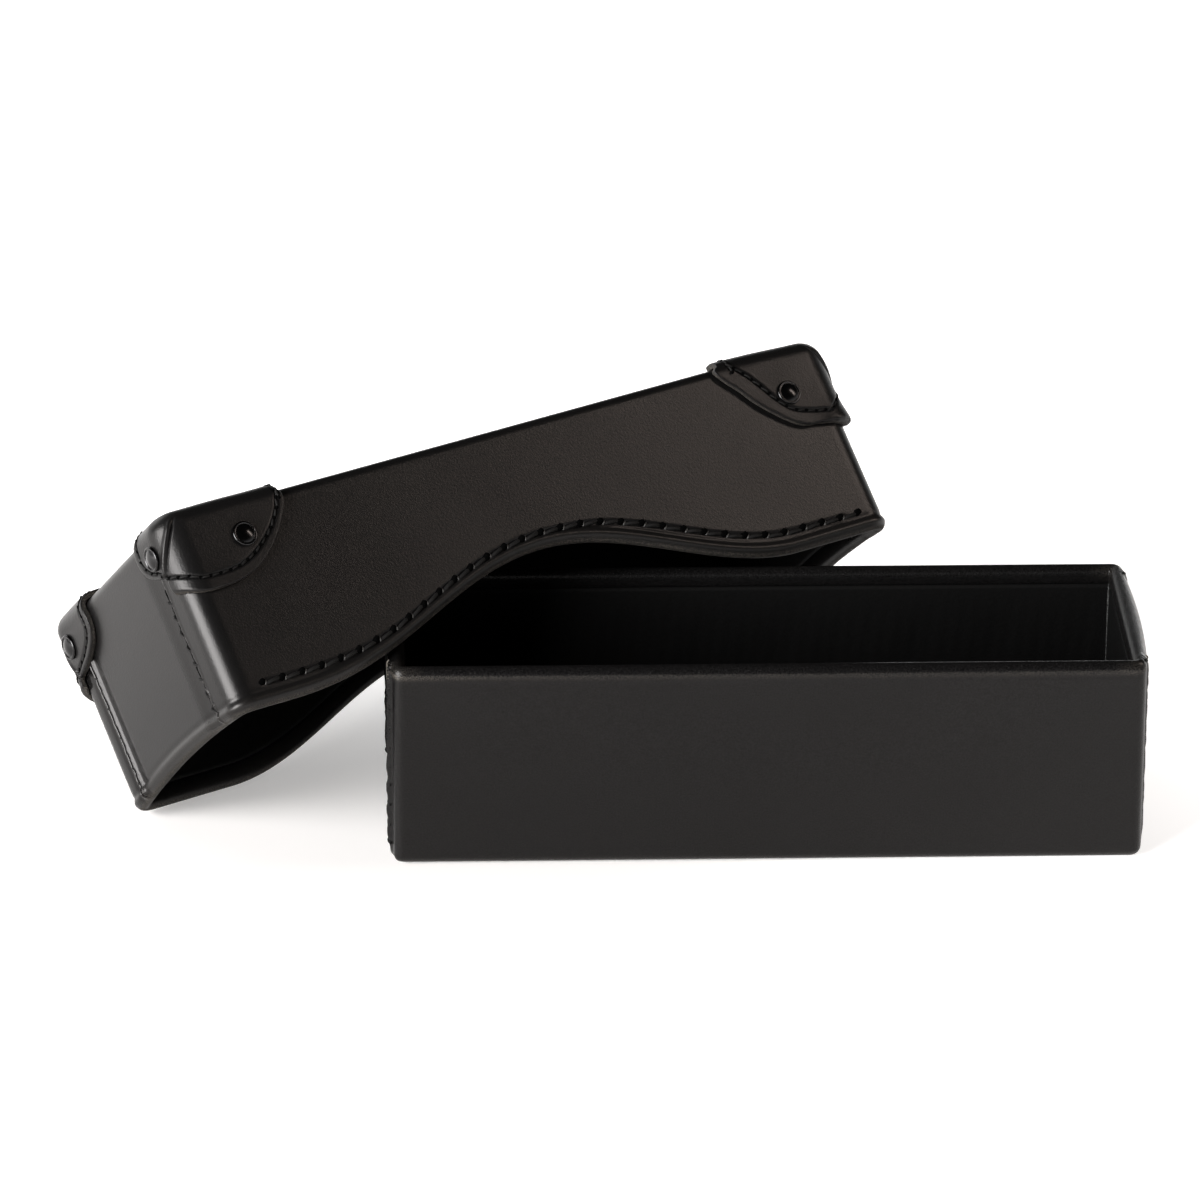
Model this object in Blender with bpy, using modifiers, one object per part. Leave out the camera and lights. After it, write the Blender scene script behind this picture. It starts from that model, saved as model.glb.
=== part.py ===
# Eyeglass case in black leather: an open tray, and its deep lid taken off and leaning over the tray.
# All lengths are in metres. The tray stands on z = 0, centred on the origin, with its length along X.

import math

import bmesh
import bpy
from mathutils import Euler, Matrix, Vector

# Driving sizes
TRAY_LENGTH = 0.168
TRAY_WIDTH = 0.0596
TRAY_HEIGHT = 0.0472
TRAY_WALL = 0.0035
LID_DEPTH = 0.0470
LID_WALL = 0.0032
FIT_ALONG = 0.0005           # play between lid lining and tray, at each end
FIT_ACROSS = 0.0004          # play between lid lining and tray, at each side
PIECE_GAP = 0.0003           # play between two pieces that lie against each other

# Where the taken-off lid leans: its near edge on the tray's left rim, its far left corner on the table
LID_PITCH = math.radians(-2.215)
LID_TURN = math.radians(31.216)
LEAN_ALONG = 0.0447          # the resting point, from the lid's left end
LEAN_ACROSS = 0.0120         # the resting point, from the tray's near face
LEAN_CLEARANCE = 0.0005      # the lid's edge above the rim, where it crosses the rim's middle
FOOT_CLEARANCE = 0.0001      # the lid's low corner above the table

# Leather and lining
TRAY_LEATHER = 0.0017
LID_LEATHER = 0.0016
TRAY_CORNER = 0.003          # radius of the tray's upright corners
LID_CORNER = 0.005           # radius of the lid's upright corners
TRAY_FOOT_ROUND = 0.002      # round between the tray's base and its walls
LID_ROOF_ROUND = 0.0025      # round between the lid's roof and its walls
RIM_TURN = 0.004             # depth of the leather turned over the tray's rim
INSIDE_CORNER = 0.0006       # least radius of an inner upright corner

# Notch cut in the lid's long walls for the thumb and finger, and the arched lower edge of its ends
NOTCH_DEPTH = 0.0172
NOTCH_WIDE_IN = 0.0127       # where the near wall's notch starts, from the lid's left end
NOTCH_IN = 0.0257            # where a notch starts elsewhere, from the lid's end
NOTCH_WIDE_POWER = 1.25
NOTCH_POWER = 0.95
END_ARCH = 0.0014
CUT_OVERRUN = 0.002          # how far every cutter runs past what it cuts

# Threads
THREAD_RADIUS = 0.00035
GUARD_THREAD_RADIUS = 0.0003
THREAD_SINK = 0.0001         # depth of a thread's middle under the face
THREAD_PLAY = 0.0003         # free space round a thread in its groove
SEAM_INSET = 0.010           # end seam, from the long face
SEAM_END_MARGIN = 0.0022     # end seam, from the lower edge and from the rounded edge
EDGE_SEAM_LIFT = 0.0043      # stitch line along the notch, from the cut edge
EDGE_SEAM_LEFT_IN = 0.0086   # ends of that line, from the lid's ends
EDGE_SEAM_RIGHT_IN = 0.0074
SLOPE_SHARE = 0.1            # share of a step over which the notch's slope is taken

# Corner guards
GUARD_THICKNESS = 0.0013
GUARD_ROOF_REACH = 0.024     # reach over the roof, along the lid
GUARD_DROP = 0.0189
GUARD_ROUND_POWER = 2.3
GUARD_SEAM_IN = 0.0015       # stitch line, from the guard's upright edge
GUARD_SEAM_UP = 0.0030       # stitch line, from the guard's lower edge
END_LOBE_SHARES = (          # of the reach in from the long face, and of the drop from the roof
    (0.0, 0.99), (0.30, 0.80), (0.34, 0.65), (0.62, 0.57), (0.93, 0.43), (1.0, 0.28), (0.95, 0.0),
)
END_SEAM_SHARES = ((0.36, 0.60), (0.60, 0.46), (0.80, 0.36), (0.86, 0.22))
ROOF_LOBE_SHARES = (0.9, 0.7, 0.45, 0.2)
GUARD_NEAR_LEFT_REACH = 0.0300
GUARD_NEAR_RIGHT_REACH = 0.0280
GUARD_FAR_REACH = 0.0290
GUARD_END_REACH = 0.0142
GUARD_FAR_LEFT_END_REACH = 0.0185

# Rivets
RIVET_CAP_RADIUS = 0.003
RIVET_CAP_HEIGHT = 0.0014
RIVET_CAP_EDGE = 0.0003
RIVET_POST_RADIUS = 0.0012
RIVET_BACK_RADIUS = 0.0022
RIVET_BACK_HEIGHT = 0.0006
RIVET_HOLE_PLAY = 0.0003
RIVET_LEFT_ALONG = 0.0174    # rivet on the long wall, from the lid's end
RIVET_RIGHT_ALONG = 0.0134
RIVET_LEFT_DROP = 0.0087     # and from the roof
RIVET_RIGHT_DROP = 0.0110
RIVET_END_IN = 0.0064        # rivet on the end wall, from the long face
RIVET_END_DROP = 0.0064

# Counts
CORNER_STEPS = 5
ROUND_STEPS = 4
NOTCH_STEPS = 36
GUARD_STEPS = 10
RIVET_STEPS = 16
RIVET_DOME_STEPS = 4
MERGE_SHARE = 0.01           # points closer than this share of a small radius are one point

# Worked out from the sizes above
LID_LENGTH = TRAY_LENGTH + 2 * (FIT_ALONG + LID_WALL)
LID_WIDTH = TRAY_WIDTH + 2 * (FIT_ACROSS + LID_WALL)
HALF_LID_LENGTH = LID_LENGTH / 2
HALF_LID_WIDTH = LID_WIDTH / 2
GUARD_OUTSIDE = PIECE_GAP + GUARD_THICKNESS
NOTCH_WIDE_HALF = HALF_LID_LENGTH - NOTCH_WIDE_IN
NOTCH_HALF = HALF_LID_LENGTH - NOTCH_IN
EDGE_SEAM_LEFT = HALF_LID_LENGTH - EDGE_SEAM_LEFT_IN
EDGE_SEAM_RIGHT = HALF_LID_LENGTH - EDGE_SEAM_RIGHT_IN


def clear_scene():
    for thing in list(bpy.data.objects):
        bpy.data.objects.remove(thing)


def make_collection(name):
    collection = bpy.data.collections.new(name)
    bpy.context.scene.collection.children.link(collection)
    return collection


def make_material(name, colour, roughness, metallic=0.0):
    material = bpy.data.materials.new(name)
    material.use_nodes = True
    shader = material.node_tree.nodes["Principled BSDF"]
    shader.inputs["Base Color"].default_value = (*colour, 1.0)
    shader.inputs["Roughness"].default_value = roughness
    shader.inputs["Metallic"].default_value = metallic
    return material


clear_scene()
PARTS = make_collection("eyeglass_case")
CUTTERS = make_collection("cutters")


def notch_height(x, near_wall):
    """Height of a long wall's lower edge: a bell, drawn out on the left of the near wall."""
    wide = near_wall and x < 0
    half = NOTCH_WIDE_HALF if wide else NOTCH_HALF
    power = NOTCH_WIDE_POWER if wide else NOTCH_POWER
    if abs(x) >= half:
        return 0.0
    return NOTCH_DEPTH * (0.5 + 0.5 * math.cos(math.pi * x / half)) ** power


def leaning_place():
    """The lid's place: the roll about its length sets its low corner down once its edge is on the rim."""
    lean_x = LEAN_ALONG - HALF_LID_LENGTH
    edge_on_lid = Vector((lean_x, LID_WALL - HALF_LID_WIDTH, notch_height(lean_x, True)))
    foot_on_lid = Vector((LID_CORNER - HALF_LID_LENGTH, HALF_LID_WIDTH, 0))
    span = foot_on_lid - edge_on_lid
    edge_height = TRAY_HEIGHT + LEAN_CLEARANCE
    fall = (FOOT_CLEARANCE - edge_height + math.sin(LID_PITCH) * span.x) / math.cos(LID_PITCH)
    roll = math.asin(fall / math.hypot(span.y, span.z)) - math.atan2(span.z, span.y)
    turned_lid = Euler((roll, LID_PITCH, LID_TURN), "XYZ").to_matrix()
    edge_on_rim = Vector(((TRAY_WALL - TRAY_LENGTH) / 2, LEAN_ACROSS - TRAY_WIDTH / 2, edge_height))
    return Matrix.Translation(edge_on_rim - turned_lid @ edge_on_lid) @ turned_lid.to_4x4()


# The lid and all it carries hang on one empty, which stands where the lid's lift begins
lid_carrier = bpy.data.objects.new("lid_carrier", None)
lid_carrier.matrix_world = leaning_place()
PARTS.objects.link(lid_carrier)


def add_mesh_object(name, mesh_data, parent=None, material=None):
    mesh = bpy.data.meshes.new(name)
    mesh_data.to_mesh(mesh)
    mesh_data.free()
    thing = bpy.data.objects.new(name, mesh)
    if material:
        mesh.materials.append(material)
        PARTS.objects.link(thing)
    else:
        thing.hide_render = True
        thing.display_type = "WIRE"
        CUTTERS.objects.link(thing)
    thing.parent = parent
    return thing


def cut(thing, cutter, operation="DIFFERENCE"):
    modifier = thing.modifiers.new(operation.lower(), "BOOLEAN")
    modifier.operation = operation
    modifier.solver = "EXACT"
    modifier.object = cutter


def arc(centre_a, centre_b, radius, start, end, steps):
    """Points (a, b) on a round, from one angle in degrees to another."""
    angles = [math.radians(start + (end - start) * step / steps) for step in range(steps + 1)]
    return [(centre_a + radius * math.cos(angle), centre_b + radius * math.sin(angle)) for angle in angles]


# Box shells: one profile of (inset, height), carried round a rectangle with rounded corners

def rounded_rectangle(bm, length, width, radius, inset, height):
    corner_radius = max(radius - inset, INSIDE_CORNER)
    reach_x = length / 2 - inset - corner_radius
    reach_y = width / 2 - inset - corner_radius
    verts = []
    for quarter, (side_x, side_y) in enumerate(((1, 1), (-1, 1), (-1, -1), (1, -1))):
        start = 90 * quarter
        middle = (side_x * reach_x, side_y * reach_y)
        for x, y in arc(*middle, corner_radius, start, start + 90, CORNER_STEPS):
            verts.append(bm.verts.new((x, y, height)))
    return verts


def box_shell(name, length, width, radius, profile, parent, material):
    bm = bmesh.new()
    rings = [rounded_rectangle(bm, length, width, radius, inset, height) for inset, height in profile]
    for lower, upper in zip(rings, rings[1:]):
        for index, vert in enumerate(lower):
            following = (index + 1) % len(lower)
            bm.faces.new((vert, lower[following], upper[following], upper[index]))
    bm.faces.new(rings[0])
    bm.faces.new(rings[-1])
    bmesh.ops.recalc_face_normals(bm, faces=bm.faces)
    return add_mesh_object(name, bm, parent, material)


def prism(name, outline, axis, low, high, parent=None):
    """A cutter: an outline in the plane across an axis, drawn out along that axis."""
    bm = bmesh.new()
    order = {
        "X": lambda a, b, c: (c, a, b),
        "Y": lambda a, b, c: (a, c, b),
        "Z": lambda a, b, c: (a, b, c),
    }[axis]
    verts = [bm.verts.new(order(a, b, low)) for a, b in outline]
    face = bm.faces.new(verts)
    drawn = bmesh.ops.extrude_face_region(bm, geom=[face])
    moved = [item for item in drawn["geom"] if isinstance(item, bmesh.types.BMVert)]
    bmesh.ops.translate(bm, verts=moved, vec=Vector(order(0, 0, high - low)))
    bmesh.ops.recalc_face_normals(bm, faces=bm.faces)
    return add_mesh_object(name, bm, parent)


# Threads and their grooves

def tube_curve(name, points, radius, closed):
    curve = bpy.data.curves.new(name, "CURVE")
    curve.dimensions = "3D"
    curve.bevel_depth = radius
    curve.bevel_resolution = 1
    curve.use_fill_caps = True
    spline = curve.splines.new("POLY")
    spline.points.add(len(points) - 1)
    for target, point in zip(spline.points, points):
        target.co = (*point, 1.0)
    spline.use_cyclic_u = closed
    return curve


def thread(name, points, radius, closed, parent, material):
    thing = bpy.data.objects.new(name, tube_curve(name, points, radius, closed))
    thing.data.materials.append(material)
    thing.parent = parent
    PARTS.objects.link(thing)
    return thing


def groove_cutter(name, points, radius, closed, parent):
    """The groove that a thread lies in: a wider tube on the same path, made a mesh so that it can cut."""
    tube = bpy.data.objects.new(name, tube_curve(name, points, radius, closed))
    CUTTERS.objects.link(tube)
    bpy.context.view_layer.update()
    evaluated = tube.evaluated_get(bpy.context.evaluated_depsgraph_get())
    bm = bmesh.new()
    bm.from_mesh(bpy.data.meshes.new_from_object(evaluated))
    bpy.data.objects.remove(tube)
    bmesh.ops.remove_doubles(bm, verts=bm.verts, dist=radius * MERGE_SHARE)
    bmesh.ops.recalc_face_normals(bm, faces=bm.faces)
    return add_mesh_object(name, bm, parent)


def lengthened(points, extra):
    """The same open path, run on at both ends."""
    first = points[0] + (points[0] - points[1]).normalized() * extra
    last = points[-1] + (points[-1] - points[-2]).normalized() * extra
    return [first, *points[1:-1], last]


def sewn_line(name, points, radius, closed, carrier, material, sewn):
    """A thread, and its groove in the piece that it is sewn through."""
    thread(name, points, radius, closed, carrier, material)
    groove = points if closed else lengthened(points, THREAD_PLAY)
    cut(sewn, groove_cutter(name + "_groove", groove, radius + THREAD_PLAY, closed, carrier))


# Materials
leather = make_material("black_leather", (0.022, 0.021, 0.021), 0.48)
lining_leather = make_material("dark_lining", (0.012, 0.012, 0.012), 0.75)
waxed_thread = make_material("black_waxed_thread", (0.012, 0.012, 0.012), 0.45)
black_nickel = make_material("black_nickel", (0.10, 0.10, 0.105), 0.18, 1.0)


# Tray: one leather blank folded up into a box and turned over the rim, and a lining held under the turn
rim_round = TRAY_WALL / 2
tray_profile = arc(TRAY_FOOT_ROUND, TRAY_FOOT_ROUND, TRAY_FOOT_ROUND, 270, 180, ROUND_STEPS)
tray_profile += arc(rim_round, TRAY_HEIGHT - rim_round, rim_round, 180, 0, 2 * ROUND_STEPS)
tray_profile += [
    (TRAY_WALL, TRAY_HEIGHT - RIM_TURN),
    (TRAY_LEATHER, TRAY_HEIGHT - RIM_TURN),
    (TRAY_LEATHER, TRAY_LEATHER),
]
tray_leather = box_shell(
    "tray_leather", TRAY_LENGTH, TRAY_WIDTH, TRAY_CORNER, tray_profile, None, leather)

tray_lining_inset = TRAY_LEATHER + PIECE_GAP
box_shell("tray_lining", TRAY_LENGTH, TRAY_WIDTH, TRAY_CORNER, [
    (tray_lining_inset, tray_lining_inset),
    (tray_lining_inset, TRAY_HEIGHT - RIM_TURN - PIECE_GAP),
    (TRAY_WALL, TRAY_HEIGHT - RIM_TURN - PIECE_GAP),
    (TRAY_WALL, TRAY_WALL),
], None, lining_leather)


def end_seams(prefix, length, width, low, high, carrier, sewn):
    """Upright seams on both ends of a box, where the long walls' tabs meet the end wall."""
    for end_name, end_side in (("left", -1), ("right", 1)):
        for long_name, long_side in (("near", -1), ("far", 1)):
            x = end_side * (length / 2 - THREAD_SINK)
            y = long_side * (width / 2 - SEAM_INSET)
            name = f"{prefix}_seam_thread_{long_name}_{end_name}"
            path = [Vector((x, y, low)), Vector((x, y, high))]
            sewn_line(name, path, THREAD_RADIUS, False, carrier, waxed_thread, sewn)


end_seams("tray", TRAY_LENGTH, TRAY_WIDTH, TRAY_FOOT_ROUND + SEAM_END_MARGIN,
          TRAY_HEIGHT - RIM_TURN - SEAM_END_MARGIN, None, tray_leather)


# Lid: the same make, upside down and deeper, in its own frame with the opening at z = 0
lid_profile = arc(LID_ROOF_ROUND, LID_DEPTH - LID_ROOF_ROUND, LID_ROOF_ROUND, 90, 180, ROUND_STEPS)
lid_profile += [(0, 0), (LID_LEATHER, 0), (LID_LEATHER, LID_DEPTH - LID_LEATHER)]
lid_leather = box_shell("lid_leather", LID_LENGTH, LID_WIDTH, LID_CORNER, lid_profile, lid_carrier, leather)

lid_lining_inset = LID_LEATHER + PIECE_GAP
lid_lining = box_shell("lid_lining", LID_LENGTH, LID_WIDTH, LID_CORNER, [
    (lid_lining_inset, LID_DEPTH - lid_lining_inset),
    (lid_lining_inset, 0),
    (LID_WALL, 0),
    (LID_WALL, LID_DEPTH - LID_WALL),
], lid_carrier, lining_leather)


def notch_outline(near_wall):
    left = NOTCH_WIDE_HALF if near_wall else NOTCH_HALF
    xs = [-left + (left + NOTCH_HALF) * step / NOTCH_STEPS for step in range(NOTCH_STEPS + 1)]
    edge = [(x, notch_height(x, near_wall)) for x in xs]
    return [(-left, -CUT_OVERRUN), *edge, (NOTCH_HALF, -CUT_OVERRUN)]


def arch_outline():
    half = HALF_LID_WIDTH - LID_CORNER
    ys = [-half + half * step / ROUND_STEPS for step in range(2 * ROUND_STEPS + 1)]
    edge = [(y, END_ARCH * (1 - (y / half) ** 2)) for y in ys]
    return [(-half, -CUT_OVERRUN), *edge, (half, -CUT_OVERRUN)]


notch_cutters = [
    prism("near_notch", notch_outline(True), "Y", -HALF_LID_WIDTH - CUT_OVERRUN, 0, lid_carrier),
    prism("far_notch", notch_outline(False), "Y", 0, HALF_LID_WIDTH + CUT_OVERRUN, lid_carrier),
    prism("end_arch", arch_outline(), "X",
          -HALF_LID_LENGTH - CUT_OVERRUN, HALF_LID_LENGTH + CUT_OVERRUN, lid_carrier),
]
for edge_cutter in notch_cutters:
    cut(lid_leather, edge_cutter)
    cut(lid_lining, edge_cutter)

end_seams("lid", LID_LENGTH, LID_WIDTH, SEAM_END_MARGIN + END_ARCH,
          LID_DEPTH - GUARD_DROP, lid_carrier, lid_leather)


def edge_seam(side_name, near_wall):
    """The stitch line that runs along a long wall's notch, a fixed way in from the cut edge."""
    y = (-1 if near_wall else 1) * (HALF_LID_WIDTH - THREAD_SINK)
    points = []
    span = EDGE_SEAM_LEFT + EDGE_SEAM_RIGHT
    slope_step = SLOPE_SHARE * span / NOTCH_STEPS
    for step in range(NOTCH_STEPS + 1):
        x = -EDGE_SEAM_LEFT + span * step / NOTCH_STEPS
        rise = notch_height(x + slope_step, near_wall) - notch_height(x - slope_step, near_wall)
        across = Vector((-rise, 2 * slope_step)).normalized() * EDGE_SEAM_LIFT
        points.append(Vector((x + across.x, y, notch_height(x, near_wall) + across.y)))
    sewn_line(f"lid_edge_thread_{side_name}", points, THREAD_RADIUS, False, lid_carrier,
              waxed_thread, lid_leather)


edge_seam("near", True)
edge_seam("far", False)


# Corner guards: leather caps over the lid's four upper corners, each sewn round and held by two rivets

def lobe_curve(reach, drop, steps):
    """A quarter of a squarish oval, from the roof edge down to the lid's upright corner."""
    points = []
    for step in range(steps + 1):
        angle = math.radians(90 * step / steps)
        along = reach * math.cos(angle) ** (2 / GUARD_ROUND_POWER)
        down = drop * math.sin(angle) ** (2 / GUARD_ROUND_POWER)
        points.append((along, down))
    return points


class Corner:
    """One upper corner of the lid; places are given as distances from its end, long face and roof."""

    def __init__(self, side_x, side_y):
        self.side_x = side_x
        self.side_y = side_y

    def place(self, from_end, from_long, from_roof):
        x = self.side_x * (HALF_LID_LENGTH - from_end)
        y = self.side_y * (HALF_LID_WIDTH - from_long)
        return Vector((x, y, LID_DEPTH - from_roof))

    def span_x(self, near, far):
        return sorted((self.side_x * (HALF_LID_LENGTH - near), self.side_x * (HALF_LID_LENGTH - far)))

    def span_y(self, near, far):
        return sorted((self.side_y * (HALF_LID_WIDTH - near), self.side_y * (HALF_LID_WIDTH - far)))


def guard_cutter(name, corner, reach, end_reach):
    """The space that a guard fills: a lobe on the long wall, one on the end wall and one on the roof."""
    outside = -GUARD_OUTSIDE - CUT_OVERRUN
    top = LID_DEPTH + GUARD_OUTSIDE + CUT_OVERRUN
    wall = [(outside, top), (reach, top)]
    wall += [(along, LID_DEPTH - down) for along, down in lobe_curve(reach, GUARD_DROP, GUARD_STEPS)]
    wall.append((outside, LID_DEPTH - GUARD_DROP))
    wall = [(corner.side_x * (HALF_LID_LENGTH - along), z) for along, z in wall]
    end_top = top + PIECE_GAP
    end = [(outside - PIECE_GAP, end_top), (END_LOBE_SHARES[-1][0] * end_reach, end_top)]
    end += [(share_in * end_reach, LID_DEPTH - share_down * GUARD_DROP)
            for share_in, share_down in reversed(END_LOBE_SHARES)]
    end.append((outside - PIECE_GAP, LID_DEPTH - GUARD_DROP + PIECE_GAP))
    end = [(corner.side_y * (HALF_LID_WIDTH - inward), z) for inward, z in end]
    end_at_roof = END_LOBE_SHARES[-1][0] * end_reach - PIECE_GAP
    wall_at_roof = reach - PIECE_GAP
    roof = [(outside, outside), (wall_at_roof, outside), (wall_at_roof, LID_ROOF_ROUND)]
    roof += [(GUARD_ROOF_REACH * share, end_at_roof * math.sqrt(1 - share ** 2) + LID_ROOF_ROUND * share)
             for share in ROOF_LOBE_SHARES]
    roof += [(LID_ROOF_ROUND, end_at_roof), (outside, end_at_roof)]
    roof = [(corner.side_x * (HALF_LID_LENGTH - along), corner.side_y * (HALF_LID_WIDTH - inward))
            for along, inward in roof]
    wall_space = prism(name, wall, "Y", *corner.span_y(outside, LID_CORNER), lid_carrier)
    end_space = prism(name + "_end", end, "X", *corner.span_x(outside - PIECE_GAP, LID_CORNER), lid_carrier)
    roof_space = prism(name + "_roof", roof, "Z", LID_DEPTH - LID_ROOF_ROUND, top + PIECE_GAP, lid_carrier)
    cut(wall_space, end_space, "UNION")
    cut(wall_space, roof_space, "UNION")
    return wall_space


def guard_seam_path(corner, reach, end_reach):
    """The closed stitch line on a guard: down the long wall, round the corner, up the end, over the roof."""
    level = -(GUARD_OUTSIDE - THREAD_SINK)
    wall = [(along, down) for along, down in
            lobe_curve(reach - GUARD_SEAM_IN, GUARD_DROP - GUARD_SEAM_UP, GUARD_STEPS)
            if down > LID_ROOF_ROUND and along > LID_CORNER]
    path = [corner.place(along, level, down) for along, down in wall]
    low = wall[-1][1]
    shares = [(share_in * end_reach, share_down * GUARD_DROP) for share_in, share_down in END_SEAM_SHARES]
    half_rise = (shares[0][1] - low) / 2
    turn = arc(LID_CORNER, LID_CORNER, LID_CORNER - level, 270, 180, CORNER_STEPS)
    for index, (from_end, from_long) in enumerate(turn):
        path.append(corner.place(from_end, from_long, low + half_rise * index / CORNER_STEPS))
    path += [corner.place(level, inward, down) for inward, down in shares]
    inward = shares[-1][0]
    fold = arc(LID_ROOF_ROUND, LID_ROOF_ROUND, LID_ROOF_ROUND - level, 180, 270, ROUND_STEPS)
    path += [corner.place(from_end, inward, from_roof) for from_end, from_roof in fold]
    side = wall[0][0]
    roof_steps = [math.radians(90 * step / ROUND_STEPS) for step in range(1, ROUND_STEPS)]
    path += [corner.place(LID_ROOF_ROUND + (side - LID_ROOF_ROUND) * math.sin(angle),
                          LID_ROOF_ROUND + (inward - LID_ROOF_ROUND) * math.cos(angle), level)
             for angle in roof_steps]
    path += [corner.place(side, from_long, from_roof) for from_roof, from_long in fold]
    return path


def rivet_profile(head_level):
    """Half section of a set rivet along its own axis: dome, post and back cap, out to in."""
    back_top = -(LID_LEATHER + PIECE_GAP)
    dome_edge = head_level + RIVET_CAP_EDGE
    dome_rise = RIVET_CAP_HEIGHT - RIVET_CAP_EDGE
    dome = []
    for step in range(RIVET_DOME_STEPS + 1):
        angle = math.radians(90 * step / RIVET_DOME_STEPS)
        dome.append((RIVET_CAP_RADIUS * math.sin(angle), dome_edge + dome_rise * math.cos(angle)))
    return dome + [
        (RIVET_CAP_RADIUS, head_level),
        (RIVET_POST_RADIUS, head_level),
        (RIVET_POST_RADIUS, back_top),
        (RIVET_BACK_RADIUS, back_top),
        (RIVET_BACK_RADIUS, back_top - RIVET_BACK_HEIGHT),
        (0, back_top - RIVET_BACK_HEIGHT),
    ]


def turned(name, profile, place, parent, material=None):
    """A turned piece whose axis points out of the lid's wall."""
    bm = bmesh.new()
    verts = [bm.verts.new((radius, 0, level)) for radius, level in profile]
    for first, second in zip(verts, verts[1:]):
        bm.edges.new((first, second))
    thing = add_mesh_object(name, bm, parent, material)
    thing.matrix_local = place
    screw = thing.modifiers.new("turn", "SCREW")
    screw.axis = "Z"
    screw.angle = math.tau
    screw.steps = RIVET_STEPS
    screw.render_steps = RIVET_STEPS
    screw.use_merge_vertices = True
    screw.merge_threshold = RIVET_CAP_EDGE * MERGE_SHARE
    return thing


def bored(name, radius, low, high, place, parent):
    profile = [(0, high), (radius, high), (radius, low), (0, low)]
    return turned(name, profile, place, parent)


def add_rivet(name, centre, outward, guard):
    """A rivet through the guard and the lid's leather, its back cap in a pocket of the lining."""
    turn = Vector(outward).to_track_quat("Z", "Y").to_matrix().to_4x4()
    place = Matrix.Translation(centre) @ turn
    head_level = GUARD_OUTSIDE + PIECE_GAP
    turned(name, rivet_profile(head_level), place, lid_carrier, black_nickel)
    hole_radius = RIVET_POST_RADIUS + RIVET_HOLE_PLAY
    hole = bored(name + "_hole", hole_radius, -LID_LEATHER - PIECE_GAP / 2,
                 head_level, place, lid_carrier)
    cut(guard, hole)
    cut(lid_leather, hole)
    pocket_floor = LID_LEATHER + 2 * PIECE_GAP + RIVET_BACK_HEIGHT
    cut(lid_lining, bored(name + "_pocket", RIVET_BACK_RADIUS + RIVET_HOLE_PLAY, -pocket_floor,
                          -LID_LEATHER, place, lid_carrier))


def add_guard(name, corner, reach, end_reach, rivet_along, rivet_drop):
    guard_profile = arc(LID_ROOF_ROUND, LID_DEPTH - LID_ROOF_ROUND, LID_ROOF_ROUND + GUARD_OUTSIDE,
                        90, 180, ROUND_STEPS)
    guard_profile += [(-GUARD_OUTSIDE, 0), (-PIECE_GAP, 0)]
    guard_profile += arc(LID_ROOF_ROUND, LID_DEPTH - LID_ROOF_ROUND, LID_ROOF_ROUND + PIECE_GAP,
                         180, 90, ROUND_STEPS)
    guard = box_shell(f"corner_guard_{name}", LID_LENGTH, LID_WIDTH, LID_CORNER, guard_profile,
                      lid_carrier, leather)
    cut(guard, guard_cutter(f"guard_space_{name}", corner, reach, end_reach), "INTERSECT")
    sewn_line(f"guard_thread_{name}", guard_seam_path(corner, reach, end_reach), GUARD_THREAD_RADIUS,
              True, lid_carrier, waxed_thread, guard)
    wall_place = corner.place(rivet_along, 0, rivet_drop)
    end_place = corner.place(0, RIVET_END_IN, RIVET_END_DROP)
    add_rivet(f"rivet_{name}_wall", wall_place, (0, corner.side_y, 0), guard)
    add_rivet(f"rivet_{name}_end", end_place, (corner.side_x, 0, 0), guard)


add_guard("near_left", Corner(-1, -1), GUARD_NEAR_LEFT_REACH, GUARD_END_REACH,
          RIVET_LEFT_ALONG, RIVET_LEFT_DROP)
add_guard("near_right", Corner(1, -1), GUARD_NEAR_RIGHT_REACH, GUARD_END_REACH,
          RIVET_RIGHT_ALONG, RIVET_RIGHT_DROP)
add_guard("far_left", Corner(-1, 1), GUARD_FAR_REACH, GUARD_FAR_LEFT_END_REACH,
          RIVET_LEFT_ALONG, RIVET_LEFT_DROP)
add_guard("far_right", Corner(1, 1), GUARD_FAR_REACH, GUARD_END_REACH,
          RIVET_RIGHT_ALONG, RIVET_RIGHT_DROP)
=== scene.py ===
import math

import bmesh
import bpy
import numpy as np
from mathutils import Matrix, Vector


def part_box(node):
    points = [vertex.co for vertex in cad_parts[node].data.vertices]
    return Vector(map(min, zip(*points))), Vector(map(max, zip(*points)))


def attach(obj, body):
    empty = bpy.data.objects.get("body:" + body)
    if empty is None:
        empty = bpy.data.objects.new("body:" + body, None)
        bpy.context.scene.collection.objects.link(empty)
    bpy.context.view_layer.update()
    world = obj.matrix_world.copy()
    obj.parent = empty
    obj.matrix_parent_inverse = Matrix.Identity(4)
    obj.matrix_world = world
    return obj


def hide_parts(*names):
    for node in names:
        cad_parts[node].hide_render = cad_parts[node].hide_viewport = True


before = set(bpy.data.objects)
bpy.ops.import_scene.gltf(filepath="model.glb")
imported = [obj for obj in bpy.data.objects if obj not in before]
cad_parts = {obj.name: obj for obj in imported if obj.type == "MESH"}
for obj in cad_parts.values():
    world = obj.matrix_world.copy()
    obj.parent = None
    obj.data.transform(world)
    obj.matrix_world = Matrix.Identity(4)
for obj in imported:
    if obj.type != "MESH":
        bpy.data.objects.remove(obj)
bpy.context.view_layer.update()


# The camera
# The case was photographed with a long lens from the front, a little to its left and looking down on it.
# The camera stands at that place; the picture's 1200 pixels lie across a frame 36 mm wide.
camera_place = Vector((-0.10135, -1.6460, 0.73931))
camera_yaw = math.radians(2.253)
camera_dip = math.radians(22.675)
camera_lean = math.radians(0.403)
camera_lens = 239.13


def in_scene(name, data):
    """A new object that holds a camera, a lamp or a mesh, put in the scene."""
    thing = bpy.data.objects.new(name, data)
    bpy.context.scene.collection.objects.link(thing)
    return thing


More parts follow.
